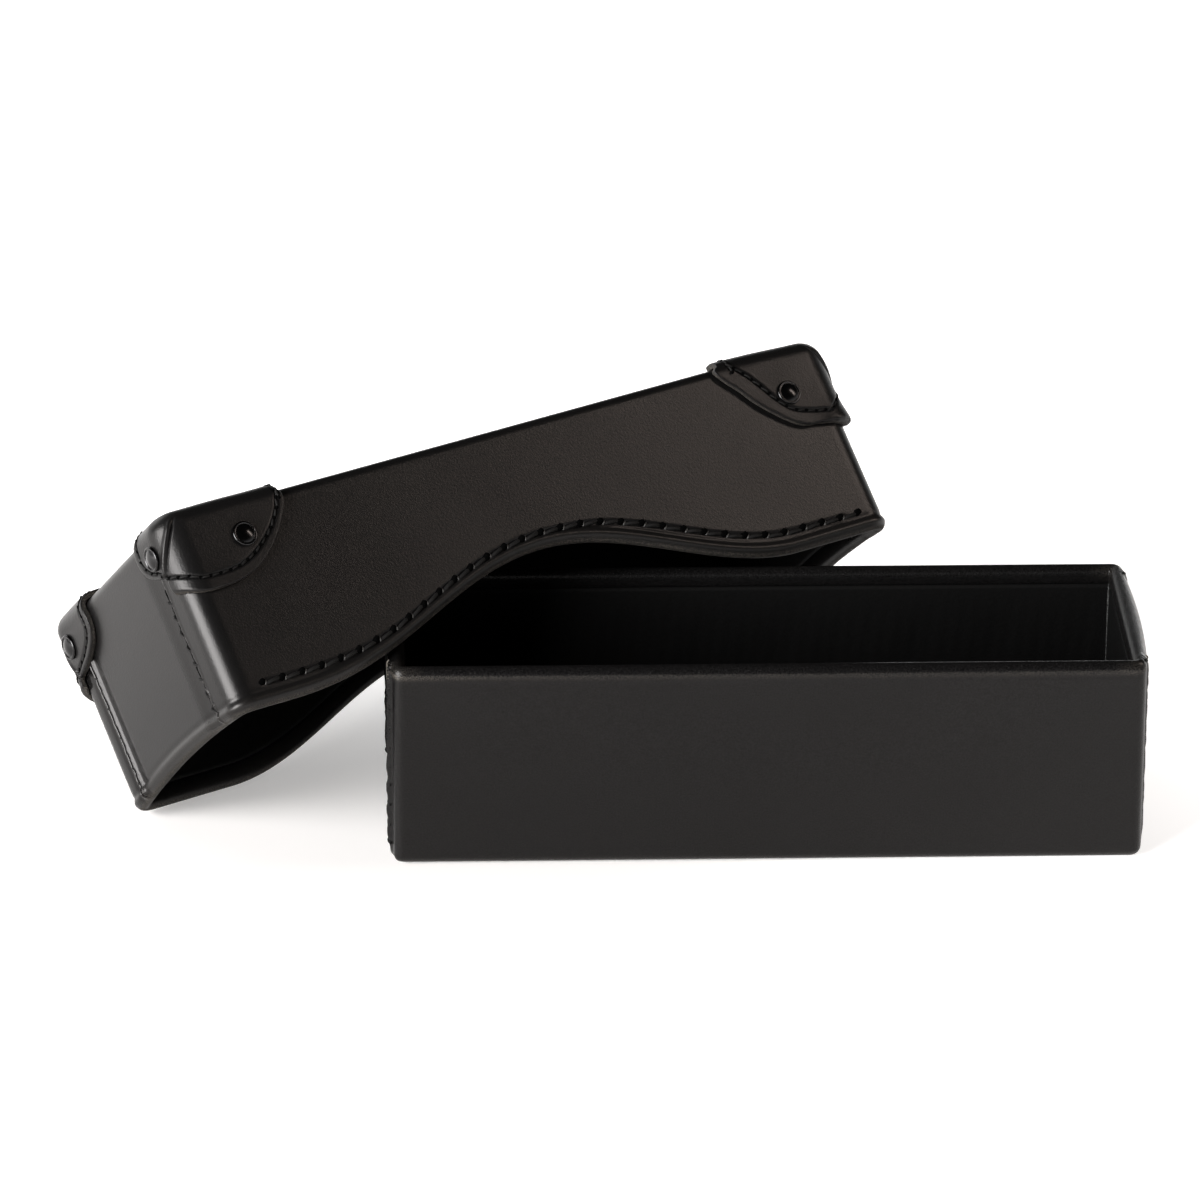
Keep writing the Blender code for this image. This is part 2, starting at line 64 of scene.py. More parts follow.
look = Vector((math.sin(camera_yaw) * math.cos(camera_dip), math.cos(camera_yaw) * math.cos(camera_dip),
               -math.sin(camera_dip)))
level_right = Vector((math.cos(camera_yaw), -math.sin(camera_yaw), 0))
level_up = level_right.cross(look)
camera_right = level_right * math.cos(camera_lean) + level_up * math.sin(camera_lean)
camera_up = level_up * math.cos(camera_lean) - level_right * math.sin(camera_lean)
camera_data = bpy.data.cameras.new("camera")
camera_data.lens = camera_lens
camera_data.sensor_width = 36
camera_data.clip_end = 20
camera = in_scene("camera", camera_data)
camera.matrix_world = Matrix.Translation(camera_place) @ Matrix(
    (camera_right, camera_up, -look)).transposed().to_4x4()
bpy.context.scene.camera = camera


# The floor and the light
# The case stands on a plain white sweep between soft lamps: a large one at the left front, a small warm one
# at the right and a weak one behind. The sweep glows away from the case, and the picture is shown without
# a film curve, so that the white paper stays white.
floor_half = 4.0
floor_drop = 0.0002                    # the floor lies this far under the case, so that they don't flicker
floor_colour = (0.93, 0.90, 0.88, 1)
# The floor's glow is painted light. It is weak round the case's left front, so that the shade under the lid
# stays, and strong further out, where it lights away the shadows that the lamps cast.
glow_near, glow_far = 0.16, 0.9
glow_start, glow_end = 0.09, 0.28      # from the glow's middle, which lies at the case's left front
glow_middle = (-0.12, -0.10, 0)
horizon_light, ceiling_light = 1.0, 0.03
sky_low, sky_high = 0.10, 0.3          # heights in the sky where the light of the horizon starts and ends


def new_finish(name):
    """A new material, with its node tree and its main shader."""
    material = bpy.data.materials.new(name)
    material.use_nodes = True
    return material, material.node_tree, material.node_tree.nodes["Principled BSDF"]


def link(tree, source, target):
    tree.links.new(source, target)


def mapped(tree, source, from_low, from_high, to_low, to_high, smooth=False):
    """A Map Range node's value: one span of values carried to another."""
    node = tree.nodes.new("ShaderNodeMapRange")
    if smooth:
        node.interpolation_type = "SMOOTHSTEP"
    for title, value in (("From Min", from_low), ("From Max", from_high), ("To Min", to_low),
                         ("To Max", to_high)):
        node.inputs[title].default_value = value
    link(tree, source, node.inputs["Value"])
    return node.outputs["Result"]


floor_mesh = bpy.data.meshes.new("floor")
floor_mesh.from_pydata(
    [(-floor_half, -floor_half, 0), (floor_half, -floor_half, 0), (floor_half, floor_half, 0),
     (-floor_half, floor_half, 0)], [], [(0, 1, 2, 3)])
floor = in_scene("floor", floor_mesh)
floor.location.z = -floor_drop
floor_paper, paper_nodes, paper = new_finish("white_paper")
paper.inputs["Base Color"].default_value = floor_colour
paper.inputs["Roughness"].default_value = 0.9
paper.inputs["Specular IOR Level"].default_value = 0.2
paper.inputs["Emission Color"].default_value = (1, 1, 1, 1)
paper_place = paper_nodes.nodes.new("ShaderNodeTexCoord")
paper_offset = paper_nodes.nodes.new("ShaderNodeVectorMath")
paper_offset.operation = "SUBTRACT"
paper_offset.inputs[1].default_value = glow_middle
link(paper_nodes, paper_place.outputs["Object"], paper_offset.inputs[0])
paper_distance = paper_nodes.nodes.new("ShaderNodeVectorMath")
paper_distance.operation = "LENGTH"
link(paper_nodes, paper_offset.outputs["Vector"], paper_distance.inputs[0])
# painted light: the floor's glow, weak near the case's left front and strong further out
paper_glow = mapped(paper_nodes, paper_distance.outputs["Value"], glow_start, glow_end, glow_near, glow_far,
                    smooth=True)
link(paper_nodes, paper_glow, paper.inputs["Emission Strength"])
floor_mesh.materials.append(floor_paper)

world = bpy.data.worlds.new("studio")
world.use_nodes = True
sky_nodes = world.node_tree
sky_place = sky_nodes.nodes.new("ShaderNodeTexCoord")
sky_parts = sky_nodes.nodes.new("ShaderNodeSeparateXYZ")
link(sky_nodes, sky_place.outputs["Generated"], sky_parts.inputs["Vector"])
sky_light = mapped(sky_nodes, sky_parts.outputs["Z"], sky_low, sky_high, horizon_light, ceiling_light,
                   smooth=True)
link(sky_nodes, sky_light, sky_nodes.nodes["Background"].inputs["Strength"])
sky_nodes.nodes["Background"].inputs["Color"].default_value = (1, 1, 1, 1)
bpy.context.scene.world = world
bpy.context.scene.view_settings.view_transform = "Standard"


def lamp(name, place, aim, width, height, power, colour=(1, 1, 1)):
    """A soft rectangular lamp that looks at a point."""
    data = bpy.data.lights.new(name, "AREA")
    data.shape = "RECTANGLE"
    data.size, data.size_y, data.energy = width, height, power
    data.color = colour
    thing = in_scene(name, data)
    thing.location = place
    thing.rotation_euler = (Vector(aim) - Vector(place)).to_track_quat("-Z", "Y").to_euler()


lamp("left_lamp", (-1.22, -0.84, 0.47), (-0.1, 0, 0.08), 1.1, 0.85, 66)
lamp("right_lamp", (0.72, 0.0, 0.62), (0.0, 0.0, 0.07), 0.16, 0.5, 2.0, (1, 0.86, 0.77))
lamp("back_lamp", (-0.9, 0.9, 0.5), (-0.15, 0.05, 0.0), 0.8, 0.5, 3)


# The tray's leather
# One blank of black leather is folded up into an open box and turned over the rim; tabs of the long
# walls run round the corners and are sewn to the end walls, where the sewn edges stand up in a low ridge.
tray_low, tray_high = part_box("tray_leather")
tray_length = tray_high.x - tray_low.x
tray_width = tray_high.y - tray_low.y
tray_height = tray_high.z - tray_low.z
tray_corner = 0.003
tray_fold = 0.002
tray_leather_thickness = 0.0017
tray_wall = 0.0035
tray_turn = 0.004
tray_rim_slope = 0.0028      # how far the rim's round runs down its outer face
tray_end_bow = 0.0012        # how far the end walls bow out at the rim
tray_long_bow = 0.0005
tray_bow_reach = 0.8         # how far down the walls the bow runs, as a share of the height
tray_bow_power = 1.3
tray_seam_in = 0.0022        # end seam, in from where the upright corner ends
tray_seam_shift = 0.0004
tray_seam_fade = 0.004       # the seam flattens out this far from the base
tray_tuck = {-1: 0.0006, 1: 0.0002}      # how far the tabs tuck in beside the upright corners, left and right
tray_tuck_reach = 0.0012
tray_tuck_turn = 0.22
tray_tuck_start, tray_tuck_rise = 0.001, 0.002
tray_ridge = {-1: 0.0007, 1: 0.0003}     # height of the sewn edges that stand proud along that seam
tray_creases = ((0.0030, 1.0), (0.0054, 0.4))      # how far below the rim, and how strong
tray_crease_reach = 0.0004
tray_crease_depth = 0.00012
tray_unevenness = 0.00005
tray_seam_place = tray_width / 2 - tray_corner - tray_seam_in + tray_seam_shift
panel_step, seam_step, seam_reach = 0.0012, 0.00018, 0.003      # mesh steps on an end wall and at its seams
rim_step, wall_step, rim_dense = 0.00035, 0.0011, 0.0095        # and up a wall, finer close to the rim
turned_under = 0.0002
merge_distance = 0.000004
least_round = 0.0003
long_step = 0.0008
arc_points = 9


def wandering(a, b, seed, waves=5):
    """A smooth irregular value of about -1 to 1, for hand-made surfaces; a and b are places times a pace."""
    rng = np.random.default_rng(seed)
    total = np.zeros(np.broadcast(a, b).shape)
    for wave in range(waves):
        turn, shift = rng.uniform(0, math.tau, 2)
        pace = 1.7 ** wave
        total += np.sin((a * math.cos(turn) + b * math.sin(turn)) * pace + shift) / pace ** 0.6
    return total / 2.2


def swell(distance, reach, middle=0.0):
    """A bell-shaped weight that is 1 at its middle and fades over its reach."""
    return np.exp(-((distance - middle) / reach) ** 2)


def refined(end, centres, coarse, fine, reach):
    """Places from -end to end, a coarse step apart, and a fine step apart round each centre."""
    places = [np.linspace(-end, end, round(2 * end / coarse) + 1)]
    for centre in centres:
        places.append(np.arange(centre - reach, centre + reach, fine))
    joined = np.unique(np.clip(np.concatenate(places), -end, end))
    kept = [joined[0]]
    for place in joined[1:-1]:
        if place - kept[-1] > fine * 0.7 and joined[-1] - place > fine * 0.7:
            kept.append(place)
    return np.array(kept + [joined[-1]])


class Walls:
    """The stations round a box, anticlockwise from the near left corner, and the rings drawn through them."""

    def __init__(self, length, width, corner, end_places):
        self.length, self.width, self.corner = length, width, corner
        straight = length / 2 - corner
        along = np.linspace(-1, 1, round(2 * straight / long_step) + 1)
        across = end_places / (width / 2 - corner)
        parts = []
        walls = ((along, -1, 0, -1), (1, across, 1, 0), (-along, 1, 0, 1), (-1, -across, -1, 0))
        for quarter, (share_x, share_y, out_x, out_y) in enumerate(walls):
            count = max(np.size(share_x), np.size(share_y))
            wall = np.zeros((count, 5))
            for column, value in enumerate((share_x, share_y, out_x, out_y, quarter)):
                wall[:, column] = value
            parts.append(wall)
            angles = np.radians(90 * (quarter - 1) + np.linspace(0, 90, arc_points + 2)[1:-1])
            turn = np.zeros((arc_points, 5))
            turn[:, 0] = 1 if quarter < 2 else -1
            turn[:, 1] = -1 if quarter in (0, 3) else 1
            turn[:, 2], turn[:, 3], turn[:, 4] = np.cos(angles), np.sin(angles), -1
            parts.append(turn)
        self.share_x, self.share_y, self.out_x, self.out_y, self.wall = np.concatenate(parts).T
        self.is_end = (self.wall == 1) | (self.wall == 3)
        self.is_long = (self.wall == 0) | (self.wall == 2)

    def ring(self, inset):
        rounding = max(self.corner - inset, least_round)
        x = self.share_x * (self.length / 2 - inset - rounding) + rounding * self.out_x
        y = self.share_y * (self.width / 2 - inset - rounding) + rounding * self.out_y
        return x, y

    def closing(self, inset, share):
        """A ring on the flat roof or base, drawn in towards the box's middle line."""
        x, y = self.ring(inset)
        middle = self.share_x * (self.length - self.width) / 2
        return x + (middle - x) * share, y * (1 - share)


def solid_from_rings(name, rings, flags, material, place, flip_height=None):
    """One closed mesh from rings of points; the first and last ring lie on the box's middle line."""
    rows, count = len(rings), len(rings[0])
    verts = np.array(rings).reshape(-1, 3)
    if flip_height is not None:
        verts[:, 2] = flip_height - verts[:, 2]
    index = np.arange(rows * count).reshape(rows, count)
    following = np.roll(index, -1, axis=1)
    faces = np.stack([index[:-1], following[:-1], following[1:], index[1:]], -1).reshape(-1, 4)
    return finished_mesh(name, verts, faces, flags, material, place)


def finished_mesh(name, verts, faces, flags, material, place):
    """A mesh object in place, its doubles merged, its faces outward and its shading smooth."""
    mesh = bpy.data.meshes.new(name)
    mesh.from_pydata(verts.tolist(), [], faces.tolist())
    for flag, values in flags.items():
        mesh.attributes.new(flag, "FLOAT", "POINT").data.foreach_set(
            "value", np.ascontiguousarray(np.array(values).reshape(-1), np.float32))
    bm = bmesh.new()
    bm.from_mesh(mesh)
    bmesh.ops.remove_doubles(bm, verts=bm.verts, dist=merge_distance)
    bmesh.ops.recalc_face_normals(bm, faces=bm.faces)
    bmesh.ops.transform(bm, matrix=place, verts=bm.verts)
    bm.to_mesh(mesh)
    bm.free()
    mesh.shade_smooth()
    mesh.materials.append(material)
    return in_scene(name, mesh)


def noise(tree, place, scale, detail):
    """A noise texture's value over a place."""
    node = tree.nodes.new("ShaderNodeTexNoise")
    node.inputs["Scale"].default_value = scale
    node.inputs["Detail"].default_value = detail
    link(tree, place, node.inputs["Vector"])
    return node.outputs["Fac"]


def carried(tree, name):
    """The value that a mesh carries under a name."""
    node = tree.nodes.new("ShaderNodeAttribute")
    node.attribute_name = name
    return node.outputs["Fac"]


def math_node(tree, operation, *sources):
    """A Math node's value; each source is a number or another node's value."""
    node = tree.nodes.new("ShaderNodeMath")
    node.operation = operation
    for socket, source in zip(node.inputs, sources):
        if isinstance(source, (int, float)):
            socket.default_value = source
        else:
            link(tree, source, socket)
    return node.outputs[0]


cloud_scale, cloud_detail = 45, 5
scuff_scale, scuff_detail = 4200, 3
speckle_low, speckle_high = 0.44, 0.60
pore_low, pore_high = 0.32, 0.68
sheen_low, sheen_high = 0.1, 0.9
cloud_dark, cloud_pale = 0.85, 1.2      # the clouding's colours, times the leather's own
sheen_under, sheen_over = 0.02, 0.03    # how far the clouding takes the roughness down and up
rubbed_roughness, raw_roughness = 0.35, 0.6
warm_gloss = (1, 0.97, 0.955, 1)


def black_leather(name, colour, pale_colour, roughness, grain_size, grain_depth, gloss, pore_contrast=0.15):
    """Grained, clouded black leather. Where a mesh carries wear it is paler and rougher: rubbed wear, and on
    the tray lining's upright corners a painted highlight. Its "raw" makes it rougher, or smoother below zero.
    """
    material, tree, shader = new_finish(name)
    new = tree.nodes.new
    place = new("ShaderNodeTexCoord").outputs["Object"]
    cloud = noise(tree, place, cloud_scale, cloud_detail)
    scuff = noise(tree, place, scuff_scale, scuff_detail)
    speckle = mapped(tree, scuff, speckle_low, speckle_high, 0, 1)
    wear_and_sheen_share = math_node(tree, "MULTIPLY", carried(tree, "wear_and_painted_sheen"), speckle)
    tone = new("ShaderNodeMix")
    tone.data_type = "RGBA"
    tone.inputs["A"].default_value = (*[channel * cloud_dark for channel in colour], 1)
    tone.inputs["B"].default_value = (*[channel * cloud_pale for channel in colour], 1)
    link(tree, cloud, tone.inputs["Factor"])
    pores = noise(tree, place, 1.1 / grain_size, 2)
    speckled = new("ShaderNodeVectorMath")
    speckled.operation = "SCALE"
    link(tree, tone.outputs["Result"], speckled.inputs[0])
    link(tree, mapped(tree, pores, pore_low, pore_high, 1 - pore_contrast, 1 + pore_contrast),
         speckled.inputs["Scale"])
    wear_and_sheen_mix = new("ShaderNodeMix")
    wear_and_sheen_mix.data_type = "RGBA"
    wear_and_sheen_mix.inputs["B"].default_value = (*pale_colour, 1)
    link(tree, wear_and_sheen_share, wear_and_sheen_mix.inputs["Factor"])
    link(tree, speckled.outputs["Vector"], wear_and_sheen_mix.inputs["A"])
    link(tree, wear_and_sheen_mix.outputs["Result"], shader.inputs["Base Color"])
    sheen = mapped(tree, cloud, sheen_low, sheen_high, roughness - sheen_under, roughness + sheen_over)
    rough = math_node(tree, "MULTIPLY_ADD", wear_and_sheen_share, rubbed_roughness, sheen)
    rough.node.use_clamp = True
    matt = math_node(tree, "MULTIPLY_ADD", carried(tree, "raw"), raw_roughness, rough)
    matt.node.use_clamp = True
    link(tree, matt, shader.inputs["Roughness"])
    pebbles = new("ShaderNodeTexVoronoi")
    pebbles.feature = "SMOOTH_F1"
    pebbles.inputs["Scale"].default_value = 1 / grain_size
    link(tree, place, pebbles.inputs["Vector"])
    creases = noise(tree, place, 2.2 / grain_size, 3)
    bump = new("ShaderNodeBump")
    bump.inputs["Strength"].default_value = 1
    bump.inputs["Distance"].default_value = grain_depth
    link(tree, math_node(tree, "ADD", pebbles.outputs["Distance"], creases), bump.inputs["Height"])
    link(tree, bump.outputs["Normal"], shader.inputs["Normal"])
    shader.inputs["Specular IOR Level"].default_value = gloss
    shader.inputs["Specular Tint"].default_value = warm_gloss
    return material


def blank_rings(walls, depth, thickness, wall, turn, fold, slope, edge_height, relief):
    """The rings of a leather blank with its opening down: up inside it, round its edge, and over its roof."""
    rings, outer = [], []
    edge_round = wall / 2

    def add(inset, rise, is_outer, share=None, kept=0.0):
        x, y = walls.ring(inset) if share is None else walls.closing(inset, share)
        z = rise + edge_height * (1 - kept) + 0 * x
        rings.append([x, y, z])
        outer.append(is_outer)

    for share in (1.0, 0.5, 0.0):
        add(thickness, depth - thickness, 0, share, 1.0)
    for part in np.linspace(1, 0, 12):
        add(thickness, turn + (depth - thickness - turn) * part, 0, None, part)
    add(wall - turned_under, turn, 0)
    add(wall, turn - turned_under, 0)
    for angle in np.radians(np.linspace(180, 270, 7)):
        add(edge_round + (wall - edge_round) * -math.cos(angle), edge_round * (1 + math.sin(angle)), 0)
    for angle in np.radians(np.linspace(270, 360, 10)[1:]):
        add(edge_round - edge_round * math.cos(angle), slope * (1 + math.sin(angle)), math.cos(angle))
    low, high = slope, depth - fold
    dense_end = low + rim_dense
    rises = np.concatenate([np.arange(low + rim_step, dense_end, rim_step),
                            np.linspace(dense_end, high, round((high - dense_end) / wall_step) + 1)])
    for rise in rises:
        add(0, rise, 1, None, (rise - low) / (high - low))
    for angle in np.radians(np.linspace(0, 90, 9)[1:]):
        add(fold * (1 - math.cos(angle)), high + fold * math.sin(angle), math.cos(angle), None, 1.0)
    for share in (0.02, 0.06, 0.15, 0.3, 0.5, 0.75, 1.0):
        add(fold, depth, 0, share, 1.0)
    rings = np.array(rings).transpose(0, 2, 1)
    outer = np.array(outer)[:, None]
    out = relief(walls, rings) * outer
    rings[:, :, 0] += out * walls.out_x
    rings[:, :, 1] += out * walls.out_y
    return rings, outer


seam_crook, seam_crook_pace = 0.00025, 1600      # how far a hand-sewn seam strays, and how often
lap_slit_depth, lap_slit_middle, lap_slit_reach = 0.0008, 0.0003, 0.0003
lap_lip_height, lap_lip_middle, lap_lip_reach = 0.0002, 0.0007, 0.0004
ridge_lip_middle, ridge_lip_reach = 0.0006, 0.00045
ridge_slit_share, ridge_slit_reach = 0.45, 0.00018
ridge_foot_depth, ridge_foot_middle, ridge_foot_reach = 0.00025, 0.0022, 0.0009


def sewn_lap(distance, depth, panel_reach, tab_rise, tab_reach, seed, level):
    """A tab sewn over a sunk panel: the panel's long slope, a slit with uneven lips, and the tab."""
    crooked = distance - seam_crook * wandering(level * seam_crook_pace, 0 * level, seed)
    panel = np.clip(1 - distance / panel_reach, 0, 1) * (distance >= 0)
    tab = np.clip(1 + distance / tab_reach, 0, 1) * (distance < 0)
    slit = swell(crooked, lap_slit_reach, lap_slit_middle)
    uneven = 1 + 0.5 * wandering(level * 2300, 0 * level, seed + 1)
    lips = swell(abs(crooked), lap_lip_reach, lap_lip_middle) * uneven
    return tab_rise * tab - depth * panel - lap_slit_depth * slit + lap_lip_height * lips


def sewn_ridge(distance, height, seed, level):
    """Two leather edges sewn together that stand up as a ridge, with a slit between them."""
    uneven = 1 + 0.35 * wandering(level * 1300, 0 * level, seed)
    lips = swell(abs(distance), ridge_lip_reach, ridge_lip_middle)
    slit = swell(distance, ridge_slit_reach)
    foot = swell(abs(distance), ridge_foot_reach, ridge_foot_middle)
    return height * uneven * lips - height * ridge_slit_share * slit - ridge_foot_depth * foot


def tray_relief(walls, rings):
    """How far the tray's leather stands out from a plain box: bowed walls, rim creases, tucks and seams."""
    x, y, z = rings[:, :, 0], rings[:, :, 1], rings[:, :, 2]
    rim = np.clip(1 - z / (tray_height * tray_bow_reach), 0, 1) ** tray_bow_power
    bowed = tray_end_bow * (1 - walls.share_y ** 2) * walls.is_end
    bowed = bowed + tray_long_bow * (1 - walls.share_x ** 2) * walls.is_long
    out = bowed * rim
    out = out + tray_unevenness * wandering(x * 90 + y * 50, z * 90, 3, 3)
    creases = sum(strength * swell(z, tray_crease_reach, place) for place, strength in tray_creases)
    out = out - tray_crease_depth * creases * walls.is_long
    from_corner = np.clip((tray_width / 2 - tray_corner - abs(y)) / tray_tuck_reach, 0, 1)
    turned = swell(1 - abs(walls.out_x), tray_tuck_turn) * (1 - from_corner)
    tuck = np.where(x < 0, tray_tuck[-1], tray_tuck[1]) * turned
    out = out - tuck * np.clip((z - tray_tuck_start) / tray_tuck_rise, 0, 1)
    fade = np.clip((tray_height - tray_fold - z) / tray_seam_fade, 0, 1)
    for end_side, seed in ((-1, 11), (1, 12)):
        on_end = walls.out_x == end_side
        for long_side in (-1, 1):
            distance = y - long_side * tray_seam_place
            ridge = sewn_ridge(distance, tray_ridge[end_side], seed + long_side, z) * fade
            out = out + ridge * on_end
    return out


rub_below, rub_reach = 0.0020, 0.0006          # the rubbed line under the tray's rim
light_rub, end_rub = 0.15, 0.32
left_fade, right_fade, right_share = 0.12, 0.06, 0.4      # it grows near the ends, in shares of half a length
corner_along, corner_across = 0.06, 0.16       # how far from the corners they are rubbed too, in such shares
corner_below, corner_reach, base_reach = 0.001, 0.0012, 0.0012
rim_gloss, rim_gloss_reach, seam_gloss = 0.4, 0.0014, 0.25
leather_colour = (0.0042, 0.0040, 0.0040)
rubbed_colour = (0.12, 0.105, 0.088)
tray_skin = black_leather("black_tray_leather", leather_colour, rubbed_colour, roughness=0.32,
                          grain_size=0.0004, grain_depth=0.000045, gloss=0.18, pore_contrast=0.5)

tray_seam_places = [side * tray_seam_place for side in (-1, 1)]
tray_walls = Walls(tray_length, tray_width, tray_corner,
                   refined(tray_width / 2 - tray_corner, tray_seam_places, panel_step, seam_step, seam_reach))
tray_rings, tray_outer = blank_rings(tray_walls, tray_height, tray_leather_thickness, tray_wall, tray_turn,
                                     tray_fold, tray_rim_slope, 0.0, tray_relief)
tray_z = tray_rings[:, :, 2]
corner_nearness = np.clip(1 - (1 - abs(tray_walls.share_x)) / corner_along, 0, 1) * np.clip(
    1 - (1 - abs(tray_walls.share_y)) / corner_across, 0, 1)
is_outside = tray_outer > 0.9
rim_scuff = swell(tray_z, rub_reach, rub_below) * is_outside
end_nearness = np.exp(-(1 + tray_walls.share_x) / left_fade)
end_nearness = end_nearness + right_share * np.exp(-(1 - tray_walls.share_x) / right_fade)
end_nearness = end_nearness * ~tray_walls.is_end
corner_scuff = light_rub * swell(tray_z, corner_reach, corner_below) * corner_nearness
tray_wear = rim_scuff * (light_rub + end_rub * end_nearness) + corner_scuff
tray_wear = tray_wear + light_rub * swell(tray_height - tray_z, base_reach)
tray_raw = -rim_gloss * swell(tray_z, rim_gloss_reach)
for place_y in tray_seam_places:
    from_seam = abs(tray_rings[:, :, 1] - place_y)
    tray_raw = tray_raw - seam_gloss * (from_seam < seam_reach) * tray_walls.is_end * is_outside
tray_body = solid_from_rings("tray_body", tray_rings,
                             {"wear_and_painted_sheen": np.clip(tray_wear, 0, 1), "raw": tray_raw}, tray_skin,
                             Matrix.Identity(4), tray_height)
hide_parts("tray_leather")
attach(tray_body, "tray")


# The tray's lining
# Dark lining leather is glued inside the walls and the floor, and its edge lies under the turned rim.
# It wrinkles a little in the upright corners.
lining_gap = 0.0002
lining_corner = 0.001        # where the lining turns from the walls to the floor
lining_corner_step = 0.0003


def lining_rings(walls, depth, skin, wall, turn, edge_height, wrinkle):
    """A closed shell between a blank's inner face and the free inside, its opening down."""
    rings = []
    outer_inset, inner_inset = skin + lining_gap, wall

    def add(inset, rise, share=None, kept=0.0, inside=0.0):
        x, y = walls.ring(inset) if share is None else walls.closing(inset, share)
        z = rise + edge_height * (1 - kept)
        fold_in = wrinkle * inside * wandering(x * 900 + y * 900, z * 90, 21)
        x = x - fold_in * walls.out_x
        y = y - fold_in * walls.out_y
        rings.append(np.stack([x, y, z + 0 * x], -1))

    roof_outside, roof_inside, low = depth - outer_inset, depth - wall, turn + lining_gap
    for share in (1.0, 0.5, 0.0):
        add(outer_inset, roof_outside, share, 1.0)
    for part in np.linspace(1, 0, 12):
        add(outer_inset, low + (roof_outside - low) * part, None, part)
    for part in np.linspace(0, 1, 40):
        rise = low + (roof_inside - lining_corner - low) * part
        add(inner_inset, rise, None, part, math.sin(math.pi * part))
    add(inner_inset + lining_corner_step, roof_inside - lining_corner_step, None, 1.0)
    add(inner_inset + lining_corner, roof_inside, None, 1.0)
    for share in (0.05, 0.2, 0.5, 1.0):
        add(inner_inset + lining_corner, roof_inside, share, 1.0)
    return rings


# The lining's pale colour shows only as the painted highlight along the tray lining's upright corners.
lining_skin = black_leather("dark_lining_leather", (0.002, 0.002, 0.002), (0.09, 0.09, 0.088), roughness=0.62,
                            grain_size=0.0008, grain_depth=0.00003, gloss=0.08)
tray_lining_rings = lining_rings(tray_walls, tray_height, tray_leather_thickness, tray_wall, tray_turn, 0.0,
                                 0.00012)
# A painted highlight: the lining's upright corners are painted paler, as if light caught their wrinkles.
corner_painted_highlight = 0.9 * (tray_walls.wall < 0) * np.ones((len(tray_lining_rings), 1))
tray_lining = solid_from_rings("tray_inside", tray_lining_rings, {"wear_and_painted_sheen": corner_painted_highlight}, lining_skin,
                               Matrix.Identity(4), tray_height)
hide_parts("tray_lining")
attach(tray_lining, "tray")


# The lid's leather
# The lid is one deeper blank, opening down, that slips over the tray. It leans over the tray's left end.
# Its long walls are cut away in a bell for the fingers, and its tabs are sewn to the end walls: the near
# tab laps over a sunk panel, the far seam stands up as a ridge.
lid_length = 0.1754
lid_width = 0.0668
lid_depth = 0.0470
lid_corner = 0.005
lid_fold = 0.0025
lid_leather_thickness = 0.0016
lid_wall = 0.0032
lid_turn = 0.0045
lid_seam_low = 0.0036        # the frame's end seams start and stop here, above the opening
lid_seam_high = 0.0281
notch_depth = 0.0172
notch_wide_half = 0.075      # half the notch's length on the near wall's left, where it is drawn out
notch_half = 0.062
notch_wide_power = 1.25
notch_power = 0.95
end_arch = 0.0014
near_seam_in = 0.0094        # sewn lap, from the near face
far_seam_in = 0.0102         # sewn ridge, from the far face
lap_sink, lap_slope = 0.0011, 0.0066            # the near panel sinks under its tab over this slope
tab_rise, tab_slope = 0.0003, 0.0044
far_ridge, far_slit_depth, far_slit_reach = 0.0006, 0.0006, 0.0003
panel_crown, panel_crown_share = 0.0003, 0.3    # the end panel's fullness, and half its share of the width
edge_roll = 0.00030          # height of the burnished roll along the lower edge
edge_roll_middle, edge_roll_reach = 0.0019, 0.0008
edge_dip_middle, edge_dip_reach = 0.0034, 0.0006
lid_unevenness = 0.00004
thread_groove_depth, thread_groove_reach = 0.00028, 0.0009


def seam_middle(node):
    low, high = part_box(node)
    return (low + high) / 2


near_left, near_right, far_left, far_right = (
    seam_middle("lid_seam_thread_" + corner)
    for corner in ("near_left", "near_right", "far_left", "far_right"))
lid_along = (near_right - near_left).normalized()
lid_across = (far_left - near_left).normalized()
lid_up = lid_along.cross(lid_across)
lid_middle = (near_left + near_right + far_left + far_right) / 4 - lid_up * (lid_seam_low + lid_seam_high) / 2
lid_place = Matrix.Translation(lid_middle) @ Matrix((lid_along, lid_across, lid_up)).transposed().to_4x4()


def notch_height(x, near_wall):
    """Height of a long wall's lower edge: a bell, drawn out on the left of the near wall."""
    wide = (x < 0) & near_wall
    half = np.where(wide, notch_wide_half, notch_half)
    power = np.where(wide, notch_wide_power, notch_power)
    bell = 0.5 + 0.5 * np.cos(math.pi * np.clip(abs(x) / half, 0, 1))
    return notch_depth * bell ** power


def lid_edge(walls):
    x, y = walls.ring(0)
    half = lid_width / 2 - lid_corner
    arch = end_arch * np.clip(1 - (y / half) ** 2, 0, 1)
    return np.where(walls.is_long, notch_height(x, y < 0), np.where(walls.is_end, arch, 0.0))


